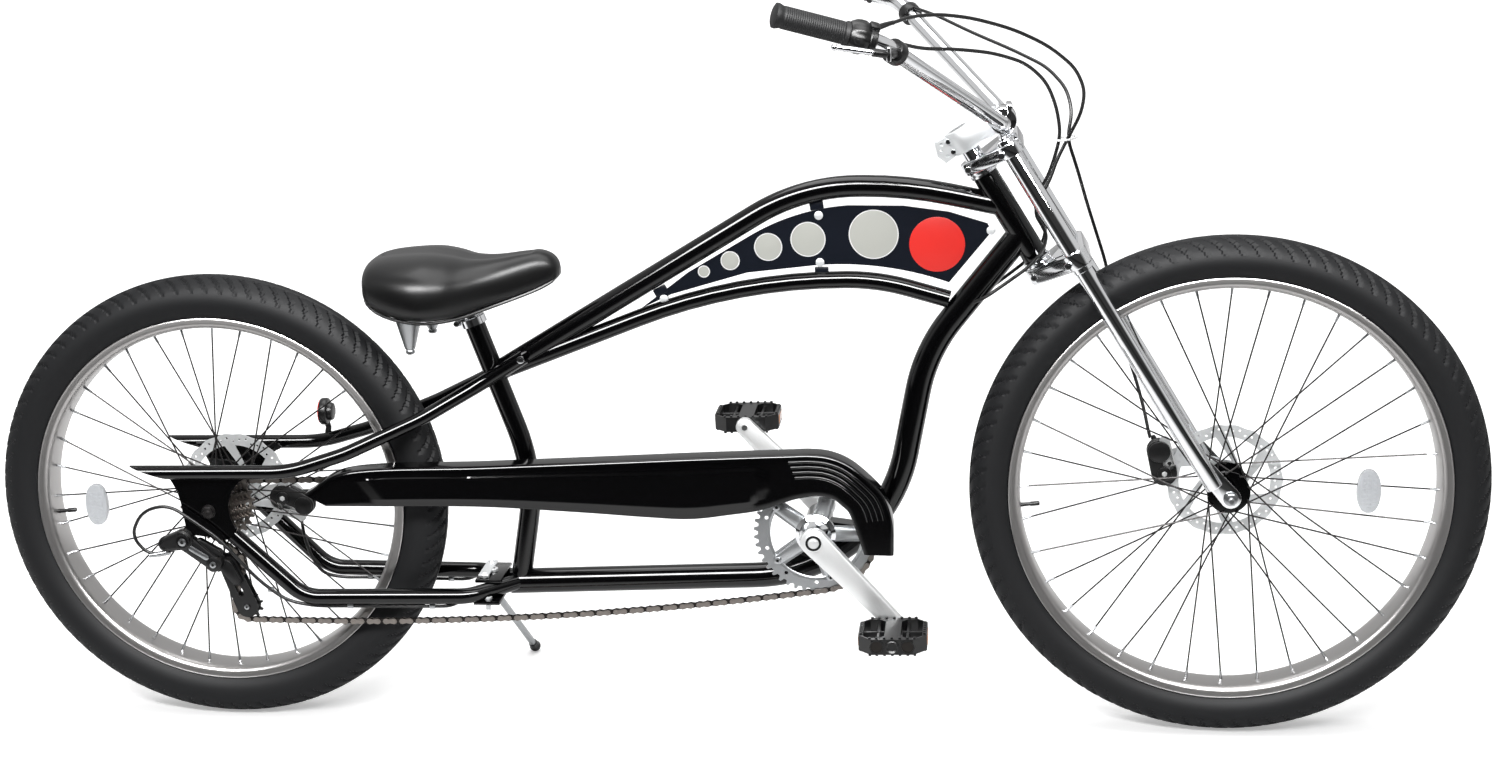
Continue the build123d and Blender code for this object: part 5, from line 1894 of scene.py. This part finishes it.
@dataclass(frozen=True)
class DriveBuilder:
    """Chainring, cranks, pedals, cogs, chain and derailleur."""

    lower_jockey: Flat = (41.0, 190.0)
    upper_jockey: Flat = (16.0, 256.0)
    knuckle: Flat = (-42.0, 301.0)
    cage_pivot: Flat = (2.0, 265.0)
    sag_share: float = 0.022
    spider_arms: int = 5
    cog_spacing: float = 5.0
    pedal_inner: float = 99.0
    pedal_width: float = 90.0

    def build(self) -> None:
        """Build the drive."""
        self._chainring()
        self._cranks()
        for side, name in ((-1, "right"), (1, "left")):
            self._pedal(side, name)
        self._freewheel()
        self._chain()
        self._derailleur()

    def _chainring(self) -> None:
        """Toothed ring on a five-armed spider."""
        place = crosswise(*CRANK, CHAIN_Y)
        holes = [ring(8.6, 24)]
        for start in turns(self.spider_arms):
            outer = [polar(69.0, start + 0.17 + 0.92 * t / 10) for t in range(11)]
            inner = [polar(30.0, start + 0.42 + 0.42 * t / 4) for t in range(5)]
            holes.append(outer + inner[::-1])
        for angle in turns(10, 0.5):
            holes.append(ring(3.0, 12, *polar(76, angle)))
        forge = Forge("chainring", Finish.RING)
        forge.plate(place, sprocket(RING_TEETH), -1.1, 1.1, holes)
        forge.lathe(place, ((67, 1.1), (69, 2.4), (71.5, 2.4), (72.5, 1.1)), 96)
        arm = wrap_rounds(((14, 0, 10), (46, 0, 7), (69, 0, 7)), 20)
        for angle in turns(self.spider_arms):
            turned = place @ Matrix.Rotation(angle, 4, "Z")
            forge.prism(turned, arm, 1.0, 5.2, 1.2)
            forge.bolt(turned @ Matrix.Translation((70, 0, 5.0)), 5.2, 2.2)
        forge.paint(Finish.CHROME)
        forge.lathe(place, ((15, 4), (30, 4), (30, 6), (24, 10), (22, 24), (19, 31.6), (12, 31.6)), 48)
        forge.build("crankset", "chainring")

    def _cranks(self) -> None:
        """Build the spindle and the tapered arms with their capped ends."""
        forge = Forge("cranks", Finish.ALLOY)
        forge.disc(crosswise(*CRANK), 8.5, -86, 86, 32, 1)
        for side in (-1, 1):
            eye = self.eye(side)
            place = facing(crosswise(0, 0, side * 83), side)
            waist = Vector(CRANK).lerp(Vector(eye), 0.3)
            rounds = ((CRANK[0], CRANK[1], 20), (*waist, 16), (eye[0], eye[1], 13.5))
            forge.prism(place, wrap_rounds(rounds, 32), 0, 14, 2.6)
            hub = place @ Matrix.Translation((*CRANK, 0))
            forge.disc(hub, 13.5, 13, 16, 36, 1.2)
            forge.paint(Finish.PLASTIC)
            forge.lathe(hub, ((8.2, 15.6), (11.6, 15.6), (11.6, 16.6), (8.2, 16.6)), 36)
            forge.paint(Finish.ALLOY)
            forge.disc(hub, 6.6, 15.5, 17.6, 6, 0.8)
        forge.build("crankset", "cranks")

    @staticmethod
    def eye(side: int) -> Flat:
        """Place of a pedal's axle."""
        reach = -side * CRANK_LENGTH
        return (CRANK[0] + reach * math.cos(CRANK_ANGLE), CRANK[1] + reach * math.sin(CRANK_ANGLE))

    @staticmethod
    def _octagon(long: float, wide: float, corner: float) -> list[Flat]:
        """Rectangle with its corners cut.

        Args:
            long: Half the length.
            wide: Half the width.
            corner: What is cut off each corner.

        Returns:
            The corners.
        """
        return [
            (long, wide - corner),
            (long - corner, wide),
            (corner - long, wide),
            (-long, wide - corner),
            (-long, corner - wide),
            (corner - long, -wide),
            (long - corner, -wide),
            (long, corner - wide),
        ]

    def _pedal(self, side: int, name: str) -> None:
        """Build the moulded cage round the axle barrel, with reflectors fore and aft.

        Args:
            side: One for the rider's left, minus one for the right.
            name: Name of the side.
        """
        x, z = self.eye(side)
        inner = self.pedal_inner
        place = Matrix.Translation((x, side * (inner + 46), z)) @ Matrix.Rotation(-0.02, 4, "Y")
        forge = Forge(f"pedal {name}", Finish.PLASTIC)
        barrel = crosswise(x, z)
        span = sorted((-side * inner, -side * (inner + self.pedal_width)))
        forge.disc(barrel, 10.5, *span, 28, 2)
        windows = [[(u + shift, v) for u, v in self._octagon(15.5, 37, 8)] for shift in (-27.0, 27.0)]
        cage = place @ Matrix.Translation((0, 0, -11.5))
        forge.plate(cage, self._octagon(49, 45, 19), 0, 23, windows)
        for end in (-1, 1):
            forge.block(place @ Matrix.Translation((end * 28, 0, 0)), (30, 4, 14), 1)
            forge.block(place @ Matrix.Translation((end * 21, 0, 0)), (4, 76, 12), 1)
            for face in (-1, 1):
                for tooth in (-32, -22, -11, 0, 11, 22, 32):
                    for u, v in ((end * 45.5, tooth * 0.7), (tooth * 1.0, end * 41.5)):
                        forge.block(place @ Matrix.Translation((u, v, face * 12)), (4, 4, 4), 0.8)
        outer = place @ Matrix.Translation((0, side * 45, 0)) @ Matrix.Rotation(-side * math.pi / 2, 4, "X")
        forge.lathe(outer, ((6, -0.5), (9.5, -0.5), (9.5, 1.6), (8.5, 2.2), (6, 0.4)), 28)
        for shift in (-22, 22):
            rim = ((8.5, -0.5), (10.0, -0.5), (10.0, 1.2), (8.5, 1.2))
            forge.lathe(outer @ Matrix.Translation((shift, 0, 0)), rim, 28)
            # A thin dark disc inside each raised ring is painted shade for a round hollow in the pedal's end
            # face.
            forge.paint(Finish.LINK)
            forge.disc(outer @ Matrix.Translation((shift, 0, 0)), 8.4, -0.6, 0.15, 28)
            forge.paint(Finish.PLASTIC)
        forge.paint(Finish.AMBER)
        for end in (-1, 1):
            forge.block(place @ Matrix.Translation((end * 48.6, 0, 0)), (2.6, 42, 12), 0.8)
        forge.paint(Finish.STEEL)
        bar = sorted((-side * 82.2, -side * (inner + 4)))
        forge.disc(barrel, 4.5, *bar, 20)
        forge.build(f"{name}_pedal", f"pedal_{name}")

    def _freewheel(self) -> None:
        """Seven toothed cogs on their carrier."""
        forge = Forge("freewheel", Finish.CHAIN)
        first = CHAIN_Y + 15
        for place, teeth in enumerate(COG_TEETH):
            frame = crosswise(0, REAR_RADIUS, first - place * self.cog_spacing)
            holes = [ring(19, 28)]
            if teeth > 19:
                pitch = pitch_radius(teeth)
                middle = (pitch + 18) / 2
                holes += [ring((pitch - 26) / 2.6, 14, *polar(middle, angle)) for angle in turns(9)]
            forge.plate(frame, sprocket(teeth), -0.9, 0.9, holes)
        profile = ((11.2, -35), (20, -35), (20.8, -36), (20.8, -66), (19, -67), (11.2, -67))
        forge.lathe(crosswise(0, REAR_RADIUS) @ Matrix.Rotation(math.pi, 4, "X"), profile, 40)
        forge.build("rear_wheel", "freewheel")

    def _loop(self) -> list[Vector]:
        """Closed pitch line of the chain, in flat bicycle coordinates."""
        ring_radius, cog_radius = pitch_radius(RING_TEETH), pitch_radius(CHAIN_COG_TEETH)
        jockey = pitch_radius(JOCKEY_TEETH)
        crank, hub = Vector(CRANK), Vector((0.0, REAR_RADIUS))
        low, high = Vector(self.lower_jockey), Vector(self.upper_jockey)
        top_start, top_end = tangent(hub, cog_radius, 1, crank, ring_radius, 1)
        run = Vector((crank.x - low.x, crank.y - ring_radius - low.y + jockey))
        slope = math.atan2(run.y, run.x) + 4 * self.sag_share
        low_end = crank + Vector((math.sin(slope), -math.cos(slope))) * ring_radius
        low_start = low - Vector((0, jockey))
        sag = (low_end + low_start) / 2 - Vector((0, self.sag_share * run.x))
        cage_start, cage_end = tangent(low, jockey, 1, high, jockey, -1)
        climb_start, climb_end = tangent(high, jockey, -1, hub, cog_radius, 1)
        path = [top_start, *arc_through(top_end, crank + Vector((ring_radius, 0)), low_end, 60)]
        path += arc_through(low_end, sag, low_start, 60)
        path += arc_through(low_start, low - Vector((jockey, 0)), cage_start, 20)
        path += arc_through(cage_end, high + Vector((jockey, 0)), climb_start, 20)
        path += arc_through(climb_end, hub - Vector((cog_radius, 0)), top_start, 30)
        return path

    def _chain(self) -> None:
        """Roller chain, link by link."""
        path = self._loop()
        lengths = [(b - a).length for a, b in zip(path, path[1:])]
        total = sum(lengths)
        count = round(total / CHAIN_PITCH / 2) * 2
        pins = []
        for link in range(count):
            want = total * link / count
            place = 0
            while want > lengths[place] and place < len(lengths) - 1:
                want -= lengths[place]
                place += 1
            pins.append(path[place].lerp(path[place + 1], want / max(lengths[place], 1e-6)))
        forge = Forge("chain", Finish.CHAIN)
        frame = crosswise(0, 0, CHAIN_Y)
        for link, pin in enumerate(pins):
            after = pins[(link + 1) % count]
            run = after - pin
            angle = math.atan2(run.y, run.x)
            local = frame @ Matrix.Translation((*pin, 0)) @ Matrix.Rotation(angle, 4, "Z")
            length = run.length
            depth, wall = (2.9, 0.8) if link % 2 else (1.9, 0.9)
            outline = self._link_outline(length)
            forge.paint(Finish.CHAIN if link % 2 else Finish.LINK)
            for face in (-1, 1):
                low, high = sorted((face * depth, face * (depth + wall)))
                forge.prism(local, outline, low, high)
            forge.paint(Finish.CHAIN)
            forge.disc(local, 2.0, -4.4, 4.4, 8)
            forge.paint(Finish.LINK)
            forge.disc(local, 3.4, -1.9, 1.9, 8)
        forge.build("frame", "chain", sharp=45)

    @staticmethod
    def _link_outline(length: float) -> list[Flat]:
        """Waisted outline of one link plate."""
        rear = [polar(4.5, math.radians(angle)) for angle in (90, 135, 180, 225, 270)]
        fore = [(length - u, -v) for u, v in rear]
        return [*rear, (length / 2, -2.9), *fore, (length / 2, 2.9)]

    def _derailleur(self) -> None:
        """Knuckle, linkage, cage with two jockey wheels and the barrel for the cable."""
        forge = Forge("derailleur", Finish.PLASTIC)
        place = crosswise(0, 0)
        knuckle, pivot = self.knuckle, self.cage_pivot
        forge.disc(crosswise(*knuckle), 13, 68.5, 86, 32, 3)
        forge.prism(place, wrap_rounds(((-42, 301, 14), (2, 265, 11))), 75, 82.5, 2.4)
        forge.prism(place, wrap_rounds(((-42, 301, 11), (2, 265, 9))), 63.5, 69, 1)
        forge.prism(place, wrap_rounds(((-70, 296, 11), (-42, 303, 16))), 68, 86, 5)
        forge.prism(place, wrap_rounds(((-20, 296, 7), (8, 281, 6))), 66, 77, 2)
        forge.disc(crosswise(*pivot), 12, 58.5, 84, 32, 2)
        forge.prism(place, wrap_rounds(((-42, 301, 11), (-28, 323, 9))), 71, 75, 0.8)
        forge.prism(place, wrap_rounds(((2, 265, 8), (16, 256, 10), (30, 232, 7))), 59, 66, 2)
        lower, upper = self.lower_jockey, self.upper_jockey
        slot = wrap_rounds(((24, 236, 4.5), (33, 211, 4.5)), 16)
        for low in (44.0, 57.0):
            forge.plate(place, wrap_rounds(((*lower, 17), (*upper, 14))), low, low + 2.2, [slot])
        for centre in (lower, upper):
            jockey = crosswise(*centre, CHAIN_Y)
            forge.plate(jockey, sprocket(JOCKEY_TEETH, JOCKEY_TOOTH), -1.5, 1.5)
            forge.disc(jockey, 4.5, -9, 10, 20, 0.8)
        forge.paint(Finish.STEEL)
        forge.bolt(crosswise(*knuckle) @ Matrix.Translation((0, 0, 85.5)), 6, 2.4)
        forge.bolt(crosswise(*pivot) @ Matrix.Translation((0, 0, 83.5)), 5, 2.2)
        forge.prism(place, wrap_rounds(((-30, 290, 4), (-8, 276, 4))), 82, 84.2, 0.8)
        for centre in (lower, upper):
            forge.bolt(crosswise(*centre) @ Matrix.Translation((0, 0, 60.5)), 4, 1.8)
        forge.build("frame", "derailleur")
        barrel = Forge("cable barrel", Finish.STEEL)
        barrel.tube(((-97, -81, 278), (-80, -79, 280), (-66, -77.5, 283)), (3.4, 4.2, 4.6), 14)
        barrel.build("frame")


def tangent(
    first: Vector, r1: float, sense1: int, second: Vector, r2: float, sense2: int
) -> tuple[Vector, Vector]:
    """Ends of the straight run from one round to the next.

    Args:
        first: Centre of the first round.
        r1: Its radius.
        sense1: One when the loop runs round it clockwise, else minus one.
        second: Centre of the second round.
        r2: Its radius.
        sense2: Its sense.

    Returns:
        Where the run leaves the first round and where it meets the second.
    """
    run = second - first
    signed1, signed2 = sense1 * r1, sense2 * r2
    heading = math.atan2(run.y, run.x) + math.asin((signed2 - signed1) / run.length)
    left = Vector((-math.sin(heading), math.cos(heading)))
    return first + left * signed1, second + left * signed2


@dataclass
class StandBuilder:
    """Side stand, its bracket and spring, and the rear reflector."""

    leg_radius: float = 5.5
    pivot: Vector = field(default_factory=lambda: Vector((402.0, 46.0, 182.0)))
    foot: Vector = field(default_factory=lambda: Vector((424.0, 215.0, 27.7)))
    axis: Vector = field(default_factory=lambda: Vector((0.040331, 0.670843, 0.740502)))

    def build(self) -> None:
        """Build the group."""
        self._stand()
        self._bracket()
        self._tail_reflector()

    def _stand(self) -> None:
        """Plated leg with a black foot."""
        run = (self.foot - self.pivot).normalized()
        forge = Forge("side stand", Finish.STEEL)
        forge.tube((self.pivot, self.foot), self.leg_radius, 24)
        forge.disc(along(self.pivot - self.axis * 8, self.pivot), 10, 0, 16, 32, 1)
        forge.paint(Finish.PLASTIC)
        forge.tube((self.foot - run * 16, self.foot - run * 6), (6.6, 8.0), 20)
        forge.ball(self.foot, 9.0, steps=24)
        forge.build("side_stand", "kickstand")

    def _bracket(self) -> None:
        """Plates clamped over the yoke, the pivot's ear and the return spring."""
        forge = Forge("stand bracket", Finish.STEEL)
        forge.disc(along(self.pivot + self.axis * 8.3, self.pivot + self.axis * 30), 11, 0, 12, 32, 1)
        forge.disc(along(self.pivot - self.axis * 11, self.pivot), 4, 0, 32, 20)
        forge.bolt(along(self.pivot - self.axis * 10.6, self.pivot - self.axis * 20), 7, 3)
        forge.paint(Finish.PAINT)
        forge.block(Matrix.Translation((412, 0, 200)), (40, 116, 6), 1.5)
        forge.block(Matrix.Translation((412, 0, 229)), (40, 84, 5), 1.5)
        forge.paint(Finish.ROTOR)
        for y in (-26, 26):
            forge.disc(Matrix.Translation((404, y, 0)), 4.5, 224, 240, 16, 1)
            forge.disc(Matrix.Translation((404, y, 0)), 8, 231, 235, 6, 0.6)
        forge.block(Matrix.Translation((404, 0, 236)), (16, 70, 3), 1)
        forge.disc(Matrix.Translation((412, 0, 0)), 4, 194, 236, 16)
        forge.bolt(Matrix.Translation((412, 0, 231.5)), 7, 5)
        for y in (-46, 46):
            forge.bolt(Matrix.Translation((412, y, 203)), 6.5, 5)
            forge.disc(Matrix.Translation((412, y, 0)), 3.6, 186, 204, 16)
        coil = [
            Vector((386 + 5 * math.cos(turn * 0.7), 34 + 5 * math.sin(turn * 0.7), 196 - turn * 0.42))
            for turn in range(64)
        ]
        forge.tube(coil, 1.1, 6)
        forge.build("frame", "stand_bracket")

    @staticmethod
    def _tail_reflector() -> None:
        """Red reflector in a black shell on its stalk."""
        forge = Forge("tail reflector", Finish.PLASTIC)
        forge.tube(((142, 84, 422), (144, 84, 436), (140, 84, 446)), (5, 4.5, 5), 12)
        shell = along((140, 84, 460), (130, 84, 460))
        forge.disc(shell, 14, -14, 0, 36, 4)
        forge.disc(shell, 21, -6, 6, 40, 3)
        forge.paint(Finish.RED)
        forge.disc(shell, 18.5, 5.5, 7.4, 36, 1.0)
        forge.build("frame", "tail_reflector")


@dataclass
class Studio:
    """Floor, light and camera."""

    stance: Stance
    finishes: Finishes
    focal_pixels: float = 2257.8
    picture_pixels: float = 1500.0
    sensor_mm: float = 36.0
    camera_place: Point = (1167.2, -3204.0, 1353.8)
    camera_turns: Point = (0.1103, -0.251, 0.0244)

    def build(self) -> None:
        """Set up the whole studio."""
        self._floor()
        self._paper()
        self._world()
        self._lights()
        self._camera()
        view = bpy.context.scene.view_settings
        view.view_transform = "Standard"
        view.look = "None"

    def _paper(self) -> None:
        """Keep the floor white to the camera and dim in front of the machine to the metal."""
        tree = self.finishes[Finish.FLOOR].node_tree
        shader = next(node for node in tree.nodes if node.type == "BSDF_PRINCIPLED")
        rays = add_node(tree, "ShaderNodeLightPath")
        place = add_node(tree, "ShaderNodeTexCoord")
        axes = add_node(tree, "ShaderNodeSeparateXYZ", Vector=place.outputs["Object"])
        front = add_node(tree, "ShaderNodeMapRange", interpolation_type="SMOOTHSTEP", Value=axes.outputs["Y"])
        for name, value in (("From Min", -1.5), ("From Max", -0.6), ("To Min", 0.04), ("To Max", 1.0)):
            front.inputs[name].default_value = value
        shade = add_node(tree, "ShaderNodeMix", Factor=rays.outputs["Is Glossy Ray"], A=1.0)
        tree.links.new(front.outputs["Result"], shade.inputs["B"])
        tree.links.new(shade.outputs["Result"], shader.inputs["Base Color"])
        reach = add_node(tree, "ShaderNodeVectorMath", operation="LENGTH", Vector=place.outputs["Object"])
        far = add_node(tree, "ShaderNodeMapRange", Value=reach.outputs["Value"])
        for name, value in (("From Min", 1.0), ("From Max", 5.0), ("To Min", 0.36), ("To Max", 1.0)):
            far.inputs[name].default_value = value
        glow = add_node(tree, "ShaderNodeMath", operation="MULTIPLY")
        tree.links.new(far.outputs["Result"], glow.inputs[0])
        tree.links.new(rays.outputs["Is Camera Ray"], glow.inputs[1])
        shader.inputs["Emission Color"].default_value = (1, 1, 1, 1)
        tree.links.new(glow.outputs["Value"], shader.inputs["Emission Strength"])

    def _floor(self) -> None:
        """Pale plain floor."""
        mesh = bpy.data.meshes.new("floor")
        shape = bmesh.new()
        bmesh.ops.create_grid(shape, x_segments=1, y_segments=1, size=40)
        shape.to_mesh(mesh)
        shape.free()
        mesh.materials.append(self.finishes[Finish.FLOOR])
        floor = bpy.data.objects.new("floor", mesh)
        bpy.context.collection.objects.link(floor)

    @staticmethod
    def _world() -> None:
        """White surroundings that grow darker towards the dim side of the studio."""
        world = bpy.data.worlds.new("studio")
        bpy.context.scene.world = world
        world.use_nodes = True
        tree = world.node_tree
        tree.nodes.clear()
        place = add_node(tree, "ShaderNodeTexCoord")
        axes = add_node(tree, "ShaderNodeSeparateXYZ", Vector=place.outputs["Generated"])
        dim = add_node(tree, "ShaderNodeMapRange", interpolation_type="SMOOTHSTEP", Value=axes.outputs["Y"])
        for name, value in (("From Min", -0.62), ("From Max", -0.18), ("To Min", 0.05), ("To Max", 0.85)):
            dim.inputs[name].default_value = value
        rays = add_node(tree, "ShaderNodeLightPath")
        soft = add_node(tree, "ShaderNodeMath", operation="MULTIPLY")
        tree.links.new(dim.outputs["Result"], soft.inputs[0])
        soft.inputs[1].default_value = 0.62
        seen = add_node(tree, "ShaderNodeMix", Factor=rays.outputs["Is Glossy Ray"])
        tree.links.new(soft.outputs["Value"], seen.inputs["A"])
        tree.links.new(dim.outputs["Result"], seen.inputs["B"])
        shown = add_node(tree, "ShaderNodeMix", Factor=rays.outputs["Is Camera Ray"], B=1.0)
        tree.links.new(seen.outputs["Result"], shown.inputs["A"])
        light = add_node(tree, "ShaderNodeBackground", Strength=shown.outputs["Result"])
        add_node(tree, "ShaderNodeOutputWorld", Surface=light.outputs["Background"])

    def _lights(self) -> None:
        """Large soft lamps over and beside the camera."""
        lamps = (
            # name, place, aim, width, height, watts, lights plain surfaces
            ("key strip", (-0.6, -2.6, 3.2), (0, 0, 0.5), 3.6, 0.5, 110, True),
            ("top bank", (0.2, 0.3, 3.6), (0, 0, 0.4), 4.0, 2.0, 90, True),
            ("gloss strip", (0.2, -2.4, 2.9), (0, 0, 0.5), 5.0, 0.8, 420, False),
        )
        for name, place, aim, width, height, watts, plain in lamps:
            data = bpy.data.lights.new(name, "AREA")
            data.shape = "RECTANGLE"
            data.size, data.size_y, data.energy = width, height, watts
            lamp = bpy.data.objects.new(name, data)
            turn = (Vector(aim) - Vector(place)).to_track_quat("-Z", "Y").to_matrix().to_4x4()
            lamp.matrix_world = Matrix.Translation(place) @ turn
            lamp.visible_diffuse = plain
            bpy.context.collection.objects.link(lamp)

    def _camera(self) -> None:
        """Camera at the photograph's place."""
        yaw, pitch, roll = self.camera_turns
        turn = Matrix.Rotation(yaw, 3, "Z") @ Matrix.Rotation(pitch, 3, "X") @ Matrix.Rotation(roll, 3, "Y")
        axes = Matrix((turn.col[0], turn.col[2], -turn.col[1])).transposed()
        lean = Matrix.Rotation(-LEAN, 3, "X")
        data = bpy.data.cameras.new("camera")
        data.sensor_width = self.sensor_mm
        data.lens = self.focal_pixels / self.picture_pixels * self.sensor_mm
        data.clip_end = 200
        camera = bpy.data.objects.new("camera", data)
        where = self.stance.point(self.camera_place)
        camera.matrix_world = Matrix.Translation(where) @ (lean @ axes).to_4x4()
        bpy.context.collection.objects.link(camera)
        bpy.context.scene.camera = camera


def finish_nodes(frame: dict, finishes: Finishes) -> None:
    """Give every CAD node the finish of its material slot.

    Args:
        finishes: The materials.
    """
    slots = {entry["node"]: entry["material_slot"] for entry in frame["record"]["subparts"]}
    names = {finish.value: finish for finish in Finish}
    for name, node in frame["nodes"].items():
        node.data.materials.clear()
        node.data.materials.append(finishes[names[slots[name]]])
        for face in node.data.polygons:
            face.use_smooth = True
        node.data.set_sharp_from_angle(angle=math.radians(32))


def main() -> None:
    """Build the whole scene."""
    logging.basicConfig(level=logging.INFO)
    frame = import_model()
    stance, finishes = Stance(), Finishes()
    Forge.studio = Workshop(stance, finishes)
    finish_nodes(frame, finishes)
    Studio(stance, finishes).build()
    builders: list[Callable[[], None]] = [FrameBuilder().build, StayBuilder().build, PanelBuilder().build]
    builders += [GuardBuilder().build, SeatBuilder().build, SteeringBuilder().build, StandBuilder().build]
    builders += [WheelBuilder(spec).build for spec in WHEELS]
    builders += [BrakeBuilder().build, HubBuilder().build, DriveBuilder().build]
    for build in builders:
        build()


if __name__ == "__main__":
    main()
